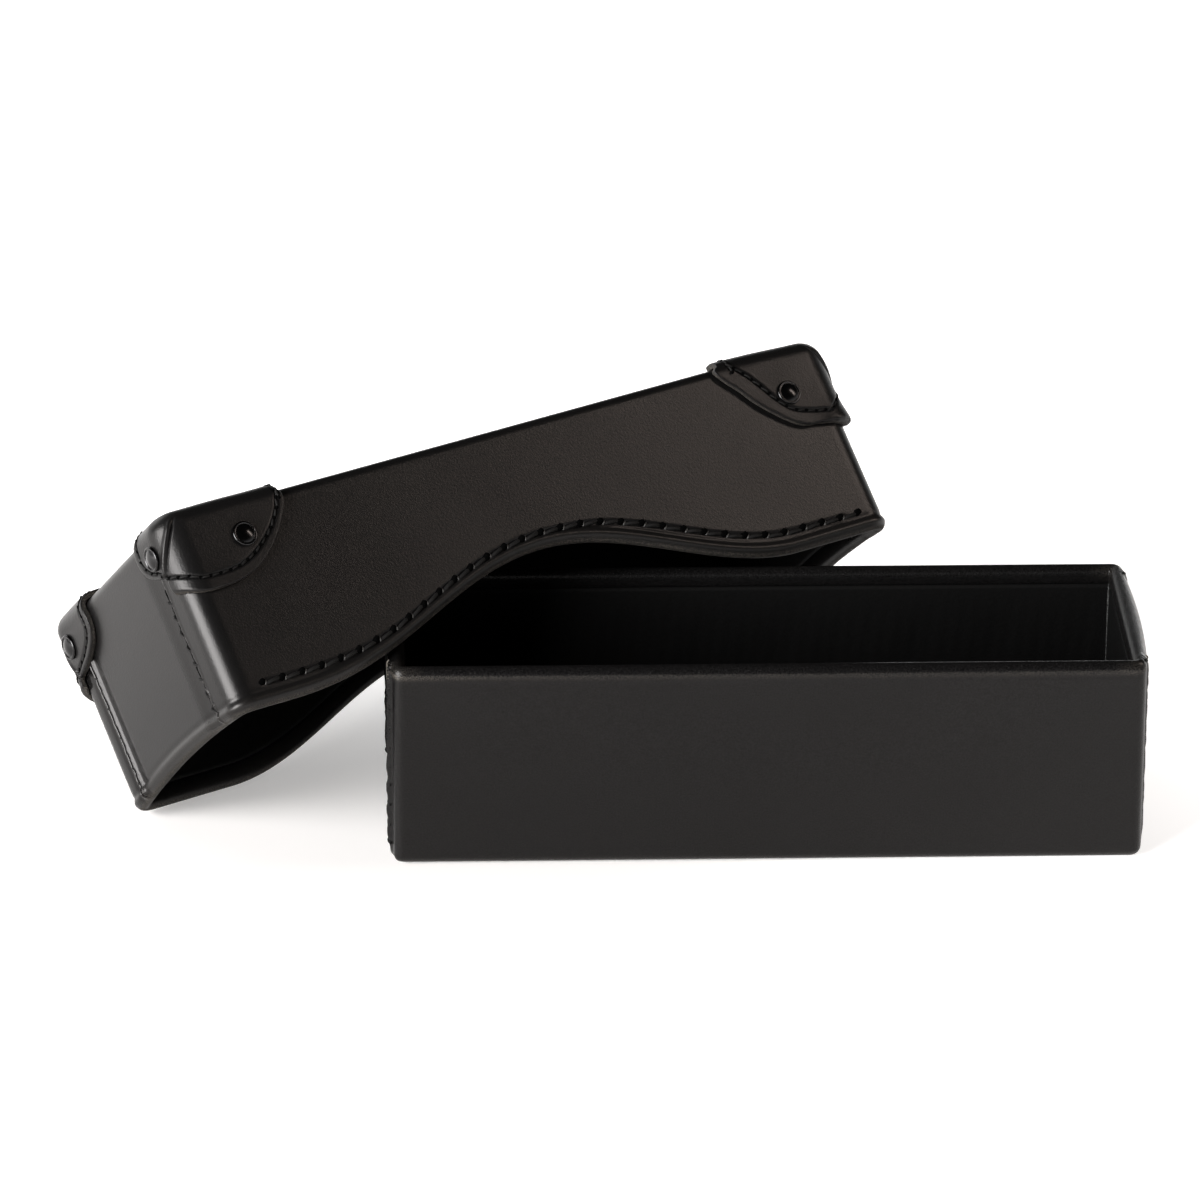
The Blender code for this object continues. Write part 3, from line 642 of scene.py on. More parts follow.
def lid_relief(walls, rings):
    """How far the lid's leather stands out from a plain box: rolled edge, end seams and full panels."""
    x, y, z = rings[:, :, 0], rings[:, :, 1], rings[:, :, 2]
    out = lid_unevenness * wandering(x * 70 + y * 40, z * 80, 5, 3)
    above = z - lid_edge(walls)
    roll = swell(above, edge_roll_reach, edge_roll_middle)
    dip = swell(above, edge_dip_reach, edge_dip_middle)
    out = out + edge_roll * (roll - 0.5 * dip)
    for end_side in (-1, 1):
        on_end = walls.out_x == end_side
        near_distance = y + (lid_width / 2 - near_seam_in)
        far_distance = (lid_width / 2 - far_seam_in) - y
        lap = sewn_lap(near_distance, lap_sink, lap_slope, tab_rise, tab_slope, 51 + end_side, z)
        ridge = sewn_ridge(far_distance, far_ridge, 31 + end_side, z)
        ridge = ridge - far_slit_depth * swell(far_distance, far_slit_reach)
        panel = panel_crown * np.clip(1 - (y / (lid_width * panel_crown_share)) ** 2, 0, 1)
        out = out + (lap + ridge + panel) * on_end
    return out


def distances(points, path):
    """Distance from each point to the nearest point of a path, taken a batch at a time."""
    batch = 4000
    result = np.empty(len(points))
    for start in range(0, len(points), batch):
        part = slice(start, start + batch)
        result[part] = np.sqrt(((points[part, None, :] - path[None, :, :]) ** 2).sum(-1)).min(1)
    return result


def pressed(rings, walls, paths, depth, reach):
    """Presses a groove into the outer face along each path on a long wall."""
    for wall_side, path in paths:
        columns = np.flatnonzero(walls.out_y == wall_side)
        block = rings[:, columns]
        near = (abs(block[:, :, 1]) > lid_width / 2 - 0.0006).reshape(-1)
        distance = distances(block[:, :, [0, 2]].reshape(-1, 2), path)
        groove = depth * np.clip(1 - (distance / reach) ** 2, 0, 1) * near
        block[:, :, 1] -= wall_side * groove.reshape(block.shape[:2])
        rings[:, columns] = block


edge_seam_left = 0.0786
edge_seam_right = 0.0757
# places along the lid, and the stitch line's height above the cut edge there
edge_seam_lift = ((-0.080, 0.0050), (-0.066, 0.0047), (-0.054, 0.0039), (-0.042, 0.0031), (-0.010, 0.0030),
                  (0.004, 0.0033), (0.014, 0.0042), (0.024, 0.0046), (0.060, 0.0047), (0.082, 0.0044))


def edge_seam_path(near_wall, count=420):
    """The stitch line along a long wall's notch, (x, z), sewn by eye a little way in from the cut edge."""
    x = np.linspace(-edge_seam_left, edge_seam_right, count)
    lift = np.interp(x, *np.transpose(edge_seam_lift))
    small = 0.00005
    slope = (notch_height(x + small, near_wall) - notch_height(x - small, near_wall)) / (2 * small)
    length = np.sqrt(1 + slope ** 2)
    return np.stack([x - lift * slope / length, notch_height(x, near_wall) + lift / length], -1)


cut_middle, cut_reach = 0.0002, 0.0004         # the raw cut edge
cut_wear, cut_raw = 0.4, 0.8
roll_wear, roll_wear_reach = 0.06, 0.0009
seam_wear, far_wear_reach, near_wear_reach = 0.03, 0.0014, 0.0009
tab_gloss, band_gloss, band_fade = 0.3, 0.16, 0.0004
near_seam_raw = 0.25
lid_skin = black_leather("black_lid_leather", leather_colour, rubbed_colour, roughness=0.29,
                         grain_size=0.0004, grain_depth=0.00002, gloss=0.24)
lid_seam_places = [-(lid_width / 2 - near_seam_in), lid_width / 2 - far_seam_in]
lid_walls = Walls(lid_length, lid_width, lid_corner,
                  refined(lid_width / 2 - lid_corner, lid_seam_places + [-place for place in lid_seam_places],
                          panel_step, seam_step, seam_reach))
lid_rings, _ = blank_rings(lid_walls, lid_depth, lid_leather_thickness, lid_wall, lid_turn, lid_fold,
                           lid_wall / 2, lid_edge(lid_walls), lid_relief)
edge_seams = {-1: edge_seam_path(True), 1: edge_seam_path(False)}
pressed(lid_rings, lid_walls, edge_seams.items(), thread_groove_depth, thread_groove_reach)
lid_above_edge = lid_rings[:, :, 2] - lid_edge(lid_walls)
cut_edge = swell(lid_above_edge, cut_reach, cut_middle)
lid_wear = cut_wear * cut_edge + roll_wear * swell(lid_above_edge, roll_wear_reach, edge_roll_middle)
lid_raw = cut_raw * cut_edge
for end_side in (-1, 1):
    on_end = lid_walls.out_x == end_side
    sewn_far = swell(lid_width / 2 - far_seam_in - lid_rings[:, :, 1], far_wear_reach)
    sewn_near = swell(lid_width / 2 - near_seam_in + lid_rings[:, :, 1], near_wear_reach)
    lid_wear = lid_wear + (seam_wear * sewn_far + seam_wear * sewn_near) * on_end
    from_near = lid_rings[:, :, 1] + lid_width / 2
    tab = (from_near < near_seam_in) | (from_near > lid_width - far_seam_in)
    band = np.clip((near_seam_in + lap_slope - from_near) / band_fade, 0, 1)
    smooth = -tab_gloss * tab - band_gloss * band * (1 - tab)
    lid_raw = lid_raw + (smooth + near_seam_raw * sewn_near) * on_end
lid_body = solid_from_rings("lid_body", lid_rings, {"wear_and_painted_sheen": np.clip(lid_wear, 0, 1), "raw": lid_raw},
                            lid_skin, lid_place)
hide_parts("lid_leather")
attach(lid_body, "lid")


# The lid's lining
# The same dark lining leather, glued inside the lid and ending under the turned edge of the notch.
lid_lining = solid_from_rings(
    "lid_inside", lining_rings(lid_walls, lid_depth, lid_leather_thickness, lid_wall, lid_turn,
                               lid_edge(lid_walls), 0.0001),
    {}, lining_skin, lid_place)
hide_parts("lid_lining")
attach(lid_lining, "lid")


# The corner guards
# Four caps of thick leather are moulded wet over the lid's upper corners. Each is two halves that are
# sewn together in a ridge beside the upright corner, sewn round its edge, and left with its cut edge raw.
guard_gap = 0.0002
guard_thickness = 0.0015
guard_patch_along = 0.038
guard_patch_across = 0.026
guard_patch_drop = 0.027
guard_patch_roof = 0.022
guard_step = 0.0007
guard_voxel = 0.00027
guard_corner_seam = 0.0043   # the halves meet beside the upright corner: where the wall's half ends, and
guard_seam_start = 0.0016    # how far round the corner their seam starts at the roof,
guard_seam_slope = 0.64      # and how fast it runs on round as it goes down
guard_overrun = 0.004
space_overlap = 0.0001       # the outlines that are joined into a guard's space overlap by this much
guard_face_start, guard_face_rise = 0.55, 0.3      # where the outer face begins, in shares of the thickness
guard_groove_depth, guard_groove_reach = 0.00035, 0.0006
guard_ridge_height, guard_ridge_middle, guard_ridge_reach = 0.0005, 0.0010, 0.0006
guard_slit_depth, guard_slit_reach = 0.0007, 0.00026
guard_seam_top, guard_seam_rise = 0.0004, 0.002    # the ridge starts this far under the roof, and rises
hem_top, hem_rise, hem_middle, hem_reach = 0.0135, 0.006, 0.0045, 0.006      # the part that flares out
sink_along, sink_down = 0.024, 0.008               # a sunk guard's top is lower over this reach
roof_along_in, roof_across_in = 0.0001, 0.0002     # the roof's cut edge lies this far inside the walls' own


def smooth_path(points, count):
    """Evenly counted points on a smooth curve through the given ones."""
    points = np.array(points, float)
    padded = np.vstack([2 * points[0] - points[1], points, 2 * points[-1] - points[-2]])
    result = []
    for index in range(len(points) - 1):
        p0, p1, p2, p3 = padded[index:index + 4]
        for t in np.linspace(0, 1, count, endpoint=False):
            result.append(0.5 * (2 * p1 + (p2 - p0) * t + (2 * p0 - 5 * p1 + 4 * p2 - p3) * t ** 2
                                 + (3 * p1 - p0 - 3 * p2 + p3) * t ** 3))
    result.append(points[-1])
    return np.array(result)


class LidCorner:
    """One upper corner of the lid; places are distances from its end, long face and roof, in metres."""

    def __init__(self, side_x, side_y):
        self.side_x, self.side_y = side_x, side_y

    def place(self, from_end, from_long, from_roof):
        return np.stack(np.broadcast_arrays(self.side_x * (lid_length / 2 - from_end),
                                            self.side_y * (lid_width / 2 - from_long),
                                            lid_depth - from_roof), -1)

    def out(self, along, across, up):
        return np.stack(np.broadcast_arrays(self.side_x * along, self.side_y * across, up), -1)


def corner_patch(corner):
    """Points and outward normals of the rounded corner that a guard covers: rows go up and over the roof."""
    wall = np.arange(guard_patch_along, lid_corner, -guard_step)
    turn = np.radians(np.linspace(0, 90, 14))
    end = np.arange(lid_corner + guard_step, guard_patch_across, guard_step)
    rows = [(0, drop, 0.0) for drop in np.arange(guard_patch_drop, lid_fold, -guard_step)]
    rows += [(lid_fold * (1 - math.cos(a)), lid_fold * (1 - math.sin(a)), a)
             for a in np.radians(np.linspace(0, 90, 9))]
    rows += [(inset, 0, math.pi / 2)
             for inset in np.arange(lid_fold + guard_step, guard_patch_roof, guard_step)]
    points, normals = [], []
    for inset, drop, tilt in rows:
        rounding = max(lid_corner - inset, least_round)
        base = inset + rounding
        wall_end = base + (wall - lid_corner) / (guard_patch_along - lid_corner) * (guard_patch_along - base)
        end_long = base + (end - lid_corner) / (guard_patch_across - lid_corner) * (guard_patch_across - base)
        from_end = np.concatenate([wall_end, base - rounding * np.sin(turn), np.full(len(end), inset)])
        from_long = np.concatenate([np.full(len(wall), inset), base - rounding * np.cos(turn), end_long])
        out_end = np.concatenate([np.zeros(len(wall)), np.sin(turn), np.ones(len(end))])
        out_long = np.concatenate([np.ones(len(wall)), np.cos(turn), np.zeros(len(end))])
        points.append(corner.place(from_end, from_long, drop))
        normals.append(corner.out(out_end * math.cos(tilt), out_long * math.cos(tilt), math.sin(tilt)))
    return np.array(points), np.array(normals)


def slab(name, points, normals, low, high):
    """A closed slab between two levels over a patch of surface."""
    rows, columns = points.shape[:2]
    inner = (points + normals * low).reshape(-1, 3)
    outer = (points + normals * high).reshape(-1, 3)
    index = np.arange(rows * columns).reshape(rows, columns)
    quads = np.stack([index[:-1, :-1], index[:-1, 1:], index[1:, 1:], index[1:, :-1]], -1).reshape(-1, 4)
    count = rows * columns
    border = np.concatenate([index[0], index[1:, -1], index[-1, -2::-1], index[-2:0:-1, 0]])
    following = np.roll(border, -1)
    sides = np.stack([border, following, following + count, border + count], -1)
    faces = np.concatenate([quads, quads[:, ::-1] + count, sides])
    mesh = bpy.data.meshes.new(name)
    mesh.from_pydata(np.concatenate([inner, outer]).tolist(), [], faces.tolist())
    bm = bmesh.new()
    bm.from_mesh(mesh)
    bmesh.ops.recalc_face_normals(bm, faces=bm.faces)
    bm.to_mesh(mesh)
    bm.free()
    return in_scene(name, mesh)


def drawn_outline(name, outline, normal_axis, low, high):
    """A cutter: a flat outline drawn out along one axis."""
    order = {0: (2, 0, 1), 1: (0, 2, 1), 2: (0, 1, 2)}[normal_axis]
    bm = bmesh.new()
    flat = np.column_stack([outline, np.full(len(outline), low)])[:, order]
    face = bm.faces.new([bm.verts.new(point) for point in flat.tolist()])
    drawn = bmesh.ops.extrude_face_region(bm, geom=[face])
    moved = [item for item in drawn["geom"] if isinstance(item, bmesh.types.BMVert)]
    way = Vector((0, 0, 0))
    way[normal_axis] = high - low
    bmesh.ops.translate(bm, verts=moved, vec=way)
    bmesh.ops.recalc_face_normals(bm, faces=bm.faces)
    mesh = bpy.data.meshes.new(name)
    bm.to_mesh(mesh)
    bm.free()
    return in_scene(name, mesh)


def baked_mesh(thing):
    """The mesh of an object as its modifiers leave it."""
    bpy.context.view_layer.update()
    evaluated = thing.evaluated_get(bpy.context.evaluated_depsgraph_get())
    return bpy.data.meshes.new_from_object(evaluated)


def guard_space(corner, wall_edge, end_edge, roof_along, roof_across):
    """The space inside a guard's cut edge, as three outlines drawn out and joined."""
    top = lid_depth + guard_overrun
    outside = -guard_overrun
    sx, sy = corner.side_x, corner.side_y
    wall_edge, end_edge = smooth_path(wall_edge, 8), smooth_path(end_edge, 8)

    def at_wall(points):
        return [(sx * (lid_length / 2 - a), lid_depth - drop) for a, drop in points]

    def at_end(points):
        return [(sy * (lid_width / 2 - a), lid_depth - drop) for a, drop in points]

    wall = at_wall([(outside, outside), (wall_edge[0][0], outside), *wall_edge, (outside, wall_edge[-1][1])])
    small = space_overlap
    end = at_end([(outside - small, outside - small), (end_edge[0][0], outside - small), *end_edge,
                  (outside - small, end_edge[-1][1] + small)])
    angles = np.radians(np.linspace(0, 90, 24))
    roof = [(outside, outside), (roof_along, outside)]
    roof += [(lid_fold + (roof_along - lid_fold) * math.cos(a),
              lid_fold + (roof_across - lid_fold) * math.sin(a)) for a in angles]
    roof += [(outside, roof_across)]
    roof = [(sx * (lid_length / 2 - a), sy * (lid_width / 2 - b)) for a, b in roof]
    wall_range = sorted((sy * (lid_width / 2 + guard_overrun), sy * (lid_width / 2 - guard_corner_seam)))
    end_range = sorted((sx * (lid_length / 2 + guard_overrun + small), sx * (lid_length / 2 - lid_corner)))
    space = drawn_outline("guard_wall_space", wall, 1, *wall_range)
    others = [drawn_outline("guard_end_space", end, 0, *end_range),
              drawn_outline("guard_roof_space", roof, 2, lid_depth - lid_fold, top + small)]
    for other in others:
        joined = space.modifiers.new("join", "BOOLEAN")
        joined.operation = "UNION"
        joined.object = other
    return space, others


# cut edges and stitch lines of the guards, in millimetres: in from the corner, and down from the roof
mm = 0.001
near_left_wall_edge = [(29.4, 0), (30.3, 1.8), (29.7, 4.4), (26.8, 8.8), (22.5, 13.4), (18, 16.6),
                       (13.2, 18.3), (7.1, 18.9), (4.0, 18.7), (2.0, 18.1), (0.4, 17.2), (-1.0, 16.2),
                       (-1.8, 15.0)]
near_right_wall_edge = [(27.6, 0), (29.2, 1.5), (27.6, 4.2), (24.8, 7.4), (22.5, 10.6), (19.4, 13.8),
                        (15.9, 17.0), (12.2, 19.2), (8.0, 19.7), (2.7, 20.1), (-1.8, 20.4)]
far_wall_edge = [(28.4, 0), (29.1, 1.8), (28.2, 4.6), (25.2, 9.4), (21.0, 13.8), (15.4, 17.6), (8.5, 19.2),
                 (4.0, 18.8), (0.4, 17.2), (-1.8, 15.6)]
small_end_edge = [(13.6, 0), (14.3, 3.6), (13.9, 6.6), (12.0, 9.0), (8.8, 10.8), (5.6, 11.8), (4.6, 12.6),
                  (4.2, 14.2), (2.8, 15.0), (-1.8, 15.2)]
large_end_edge = [(18.4, 0), (19.4, 3.4), (19.2, 6.8), (17.2, 9.4), (14.0, 11.2), (9.6, 12.8), (5.6, 13.8),
                  (4.2, 14.8), (2.8, 15.2), (-1.8, 15.2)]
guards = {
    "near_left": (LidCorner(-1, -1), near_left_wall_edge, small_end_edge),
    "near_right": (LidCorner(1, -1), near_right_wall_edge, small_end_edge),
    "far_left": (LidCorner(-1, 1), far_wall_edge, large_end_edge),
    "far_right": (LidCorner(1, 1), far_wall_edge, small_end_edge),
}
near_left_wall_seam = [(29.0, 1.4), (27.2, 5.2), (23.7, 9.4), (18.6, 13.2), (14.6, 15.0), (10.4, 15.7),
                       (6.2, 15.8), (4.9, 15.7)]
near_right_wall_seam = [(25.0, 1.0), (21.8, 4.3), (19.2, 8.0), (16.8, 11.7), (13.8, 14.8), (9.8, 16.3),
                        (6.2, 17.1), (4.9, 17.3)]
far_wall_seam = [(27.6, 1.4), (25.6, 5.6), (22.6, 9.6), (18.4, 13.2), (13.2, 15.6), (8.4, 16.4), (4.9, 16.4)]
small_end_seam = [(4.9, 12.0), (5.8, 10.6), (8.8, 9.3), (11.4, 7.2), (12.4, 4.8), (12.0, 2.4)]
large_end_seam = [(4.9, 12.8), (8.6, 11.6), (12.6, 10.0), (15.6, 8.2), (17.2, 5.4), (17.0, 2.4)]
guard_seams = {
    "near_left": (near_left_wall_seam, small_end_seam),
    "near_right": (near_right_wall_seam, small_end_seam),
    "far_left": (far_wall_seam, large_end_seam),
    "far_right": (far_wall_seam, small_end_seam),
}
guard_level = guard_gap + guard_thickness
guard_crumple = {"near_left": (0.00005, 1), "near_right": (0.00006, 1), "far_left": (0.00016, 1.4),
                 "far_right": (0.00008, 1)}
guard_sink = {"near_left": 0.0, "near_right": 0.0010, "far_left": 0.0, "far_right": 0.0003}
guard_flare = {"near_left": 0.0002, "near_right": 0.0008, "far_left": 0.0005, "far_right": 0.0004}


def guard_seam_path(name):
    """A guard's stitch line on its outer face, with the way out at each point: wall, corner, end and roof."""
    corner = guards[name][0]
    wall, end = guard_seams[name]
    wall = smooth_path(np.array(wall) * mm, 10)
    end = smooth_path(np.array(end) * mm, 10)
    points = [corner.place(wall[:, 0], -guard_level, wall[:, 1])]
    outs = [corner.out(0 * wall[:, 0], 1.0, 0.0)]
    angles = np.radians(np.linspace(0, 90, 16)[1:-1])
    drop = np.linspace(wall[-1, 1], end[0, 1], len(angles))
    reach = lid_corner + guard_level
    points.append(corner.place(lid_corner - reach * np.sin(angles),
                               lid_corner - reach * np.cos(angles), drop))
    outs.append(corner.out(np.sin(angles), np.cos(angles), 0.0))
    points.append(corner.place(-guard_level, end[:, 0], end[:, 1]))
    outs.append(corner.out(1.0 + 0 * end[:, 0], 0.0, 0.0))
    fold = lid_fold + guard_level
    tilts = np.radians(np.linspace(0, 90, 9)[1:-1])
    points.append(corner.place(lid_fold - fold * np.cos(tilts), end[-1, 0], lid_fold - fold * np.sin(tilts)))
    outs.append(corner.out(np.cos(tilts), 0.0, np.sin(tilts)))
    sweep = np.radians(np.linspace(0, 90, 24))
    roof_along, roof_across = wall[0, 0], end[-1, 0]
    points.append(corner.place(lid_fold + (roof_along - lid_fold) * np.sin(sweep),
                               lid_fold + (roof_across - lid_fold) * np.cos(sweep), -guard_level))
    outs.append(corner.out(0 * sweep, 0.0, 1.0))
    tilts = tilts[::-1]
    points.append(corner.place(roof_along, lid_fold - fold * np.cos(tilts), lid_fold - fold * np.sin(tilts)))
    outs.append(corner.out(0 * tilts, np.cos(tilts), np.sin(tilts)))
    return np.concatenate(points), np.concatenate(outs)


guard_skin = black_leather("black_guard_leather", leather_colour, rubbed_colour, roughness=0.31,
                           grain_size=0.0004, grain_depth=0.000025, gloss=0.22)


def moulded_guard(name):
    """A guard cut from its slab, softened, and pressed in along its seams."""
    corner, wall_edge, end_edge = guards[name]
    points, normals = corner_patch(corner)
    thing = slab("guard_slab", points, normals, guard_gap, guard_level)
    roof_along = wall_edge[0][0] * mm - roof_along_in
    roof_across = end_edge[0][0] * mm - roof_across_in
    space, others = guard_space(corner, np.array(wall_edge) * mm, np.array(end_edge) * mm,
                                roof_along, roof_across)
    kept = thing.modifiers.new("cut", "BOOLEAN")
    kept.operation = "INTERSECT"
    kept.object = space
    fine = thing.modifiers.new("fine", "REMESH")
    fine.mode = "VOXEL"
    fine.voxel_size = guard_voxel
    fine.use_smooth_shade = True
    soft = thing.modifiers.new("soft", "SMOOTH")
    soft.factor = 0.5
    soft.iterations = 4
    mesh = baked_mesh(thing)
    for used in (thing, space, *others):
        bpy.data.objects.remove(used)
    count = len(mesh.vertices)
    place, out = np.empty(count * 3), np.empty(count * 3)
    mesh.vertices.foreach_get("co", place)
    mesh.vertices.foreach_get("normal", out)
    place, out = place.reshape(-1, 3), out.reshape(-1, 3)
    from_end = lid_length / 2 - corner.side_x * place[:, 0]
    from_long = lid_width / 2 - corner.side_y * place[:, 1]
    from_roof = lid_depth - place[:, 2]
    turn_end, turn_long = lid_corner - from_end, lid_corner - from_long
    beside_wall = np.hypot(np.maximum(turn_end, 0), np.maximum(turn_long, 0)) - lid_corner
    level = np.hypot(np.maximum(beside_wall + lid_fold, 0), np.maximum(lid_fold - from_roof, 0)) - lid_fold
    outer = np.clip((level - guard_gap - guard_thickness * guard_face_start)
                    / (guard_thickness * guard_face_rise), 0, 1)
    seam, _ = guard_seam_path(name)
    groove = np.clip(1 - (distances(place, seam) / guard_groove_reach) ** 2, 0, 1)
    angle = np.arctan2(np.maximum(turn_end, 0), np.maximum(turn_long, 0))
    around = (lid_corner + guard_level) * angle + np.maximum(-turn_long, 0) - np.maximum(-turn_end, 0)
    beside = around - guard_seam_start - guard_seam_slope * from_roof
    started = np.clip((from_roof - guard_seam_top) / guard_seam_rise, 0, 1)
    slit = swell(beside, guard_slit_reach)
    ridge = swell(beside, guard_ridge_reach, guard_ridge_middle)
    seamed = started * (guard_ridge_height * ridge - guard_slit_depth * slit)
    change = outer * (seamed - guard_groove_depth * groove)
    hem = np.clip((from_roof - hem_top) / hem_rise, 0, 1) ** 1.5 * swell(around, hem_reach, hem_middle)
    change += hem * guard_flare[name]
    height, pace = guard_crumple[name]
    sideways = (place[:, 0] * 260 + place[:, 1] * 200) * pace
    change += height * wandering(sideways, place[:, 2] * 240 * pace, 41, 3)
    place = place + out * change[:, None]
    near_end = np.clip(1 - from_end / sink_along, 0, 1)
    place[:, 2] -= guard_sink[name] * near_end * np.clip(1 - from_roof / sink_down, 0, 1)
    mesh.vertices.foreach_set("co", place.reshape(-1))
    raw = np.clip(1 - outer, 0, 1) * (level > guard_gap * 0.5)
    for flag, strength in (("wear_and_painted_sheen", 0.4), ("raw", 0.7)):
        mesh.attributes.new(flag, "FLOAT", "POINT").data.foreach_set(
            "value", (strength * raw).astype(np.float32))
    mesh.transform(lid_place)
    mesh.materials.clear()
    mesh.materials.append(guard_skin)
    mesh.shade_smooth()
    return in_scene("guard_" + name, mesh)


for guard_name in guards:
    guard = moulded_guard(guard_name)
    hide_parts("corner_guard_" + guard_name)
    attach(guard, "lid")


# The stitches
# Every seam is sewn by hand with black waxed thread. Each stitch is a short arched length of thread that
# dives into its two holes; a seam's path is followed by Geometry Nodes, which set one stitch per step.
# The dark of the needle holes and of the gaps between sewn edges is painted shade, drawn as matt near-black
# pieces.
thread_width = 0.00085
edge_thread_sunk = 0.00012   # the edge seam's thread lies this far under the leather's face
# the last hole of each edge seam is drawn as painted shade too
edge_hole_step = 0.005       # one more hole follows each edge seam, this far past its end
end_seam_low, end_seam_short = 0.0045, 0.0165      # the lid's end seams: above the opening, below the roof
end_seam_points = 30
# the dark in these gaps is painted shade
end_gap_shade_sunk = 0.0004        # the dark gaps between the edges lie this far under the thread
tray_thread_low, tray_thread_short = 0.004, 0.0012      # the tray's end seams: above the base, under the rim
tray_thread_level = {-1: 0.0003, 1: -0.0002}            # and how far they stand out, left and right
tray_thread_points = 40
knot_low, knot_high, knot_out = 0.0042, 0.0006, 0.0002  # the frayed knots: the two ends, under the rim


def carried_outward(tree):
    """The way out of the leather that each point of a path carries."""
    node = tree.nodes.new("GeometryNodeInputNamedAttribute")
    node.data_type = "FLOAT_VECTOR"
    node.inputs["Name"].default_value = "outward"
    return node.outputs["Attribute"]


def real_mesh(tree, instances, finish):
    """Instances made into mesh of their own, with one finish."""
    real = tree.nodes.new("GeometryNodeRealizeInstances")
    link(tree, instances, real.inputs["Geometry"])
    coloured = tree.nodes.new("GeometryNodeSetMaterial")
    link(tree, real.outputs["Geometry"], coloured.inputs["Geometry"])
    link(tree, finish, coloured.inputs["Material"])
    return coloured.outputs["Geometry"]


def stitch_tree():
    """The node tree that sews a path: one arched stitch at each step, turned a little off the line."""
    tree = bpy.data.node_groups.new("hand_stitches", "GeometryNodeTree")
    face = tree.interface
    face.new_socket("Path", in_out="INPUT", socket_type="NodeSocketGeometry")
    for title, value in (("Step", 0.004), ("Stitch Length", 0.0034), ("Thread Width", thread_width),
                         ("Arch", 0.0005), ("Dive", 0.0004), ("Slant", 0.2), ("Unevenness", 0.08),
                         ("Shift", 0.0), ("Lift", 0.0)):
        face.new_socket(title, in_out="INPUT", socket_type="NodeSocketFloat").default_value = value
    face.new_socket("Seed", in_out="INPUT", socket_type="NodeSocketInt").default_value = 4
    face.new_socket("Thread", in_out="INPUT", socket_type="NodeSocketMaterial")
    face.new_socket("Stitches", in_out="OUTPUT", socket_type="NodeSocketGeometry")
    new = tree.nodes.new
    given, result = new("NodeGroupInput"), new("NodeGroupOutput")
    value = given.outputs
    curve = new("GeometryNodeMeshToCurve")
    link(tree, value["Path"], curve.inputs["Mesh"])
    steps = new("GeometryNodeResampleCurve")
    steps.mode = "LENGTH"
    link(tree, curve.outputs["Curve"], steps.inputs["Curve"])
    link(tree, value["Step"], steps.inputs["Length"])
    half = math_node(tree, "MULTIPLY", value["Stitch Length"], 0.5)
    back = math_node(tree, "MULTIPLY", half, -1)
    down = math_node(tree, "MULTIPLY", value["Dive"], -1)
    arch = new("GeometryNodeCurveQuadraticBezier")
    arch.inputs["Resolution"].default_value = 8
    for socket, x, z in (("Start", back, down), ("End", half, down), ("Middle", 0.0, value["Arch"])):
        point = new("ShaderNodeCombineXYZ")
        if not isinstance(x, float):
            link(tree, x, point.inputs["X"])
        link(tree, z, point.inputs["Z"])
        link(tree, point.outputs[0], arch.inputs[socket])
    strand = new("GeometryNodeCurvePrimitiveCircle")
    strand.inputs["Resolution"].default_value = 8
    link(tree, math_node(tree, "MULTIPLY", value["Thread Width"], 0.5), strand.inputs["Radius"])
    stitch = new("GeometryNodeCurveToMesh")
    stitch.inputs["Fill Caps"].default_value = True
    link(tree, arch.outputs["Curve"], stitch.inputs["Curve"])
    link(tree, strand.outputs["Curve"], stitch.inputs["Profile Curve"])
    smooth = new("GeometryNodeSetShadeSmooth")
    link(tree, stitch.outputs["Mesh"], smooth.inputs["Geometry"])
    slanted = new("FunctionNodeAxisAngleToRotation")
    slanted.inputs["Axis"].default_value = (0, 0, 1)
    link(tree, value["Slant"], slanted.inputs["Angle"])
    offset = new("ShaderNodeCombineXYZ")
    link(tree, value["Shift"], offset.inputs["X"])
    link(tree, value["Lift"], offset.inputs["Y"])
    shifted = new("GeometryNodeTransform")
    link(tree, smooth.outputs["Geometry"], shifted.inputs["Geometry"])
    link(tree, offset.outputs[0], shifted.inputs["Translation"])
    link(tree, slanted.outputs["Rotation"], shifted.inputs["Rotation"])
    tangent = new("GeometryNodeInputTangent")
    along = new("FunctionNodeAlignRotationToVector")
    along.axis = "X"
    link(tree, tangent.outputs[0], along.inputs["Vector"])
    upright = new("FunctionNodeAlignRotationToVector")
    upright.axis = "Z"
    upright.pivot_axis = "X"
    link(tree, along.outputs["Rotation"], upright.inputs["Rotation"])
    link(tree, carried_outward(tree), upright.inputs["Vector"])
    wobble = new("FunctionNodeRandomValue")
    wobble.data_type = "FLOAT"
    link(tree, math_node(tree, "MULTIPLY", value["Unevenness"], -1), wobble.inputs[2])
    link(tree, value["Unevenness"], wobble.inputs[3])
    link(tree, value["Seed"], wobble.inputs["Seed"])
    turned = new("FunctionNodeAxisAngleToRotation")
    turned.inputs["Axis"].default_value = (0, 0, 1)
    link(tree, wobble.outputs[1], turned.inputs["Angle"])
    both = new("FunctionNodeRotateRotation")
    both.rotation_space = "LOCAL"
    link(tree, upright.outputs["Rotation"], both.inputs["Rotation"])
    link(tree, turned.outputs["Rotation"], both.inputs["Rotate By"])
    placed = new("GeometryNodeInstanceOnPoints")
    link(tree, steps.outputs["Curve"], placed.inputs["Points"])
    link(tree, shifted.outputs["Geometry"], placed.inputs["Instance"])
    link(tree, both.outputs["Rotation"], placed.inputs["Rotation"])
    link(tree, real_mesh(tree, placed.outputs["Instances"], value["Thread"]), result.inputs["Stitches"])
    return tree


def set_inputs(modifier, values):
    """Sets a node modifier's inputs by the names that its tree gives them."""
    for item in modifier.node_group.interface.items_tree:
        if item.item_type == "SOCKET" and item.in_out == "INPUT" and item.name in values:
            modifier[item.identifier] = values[item.name]


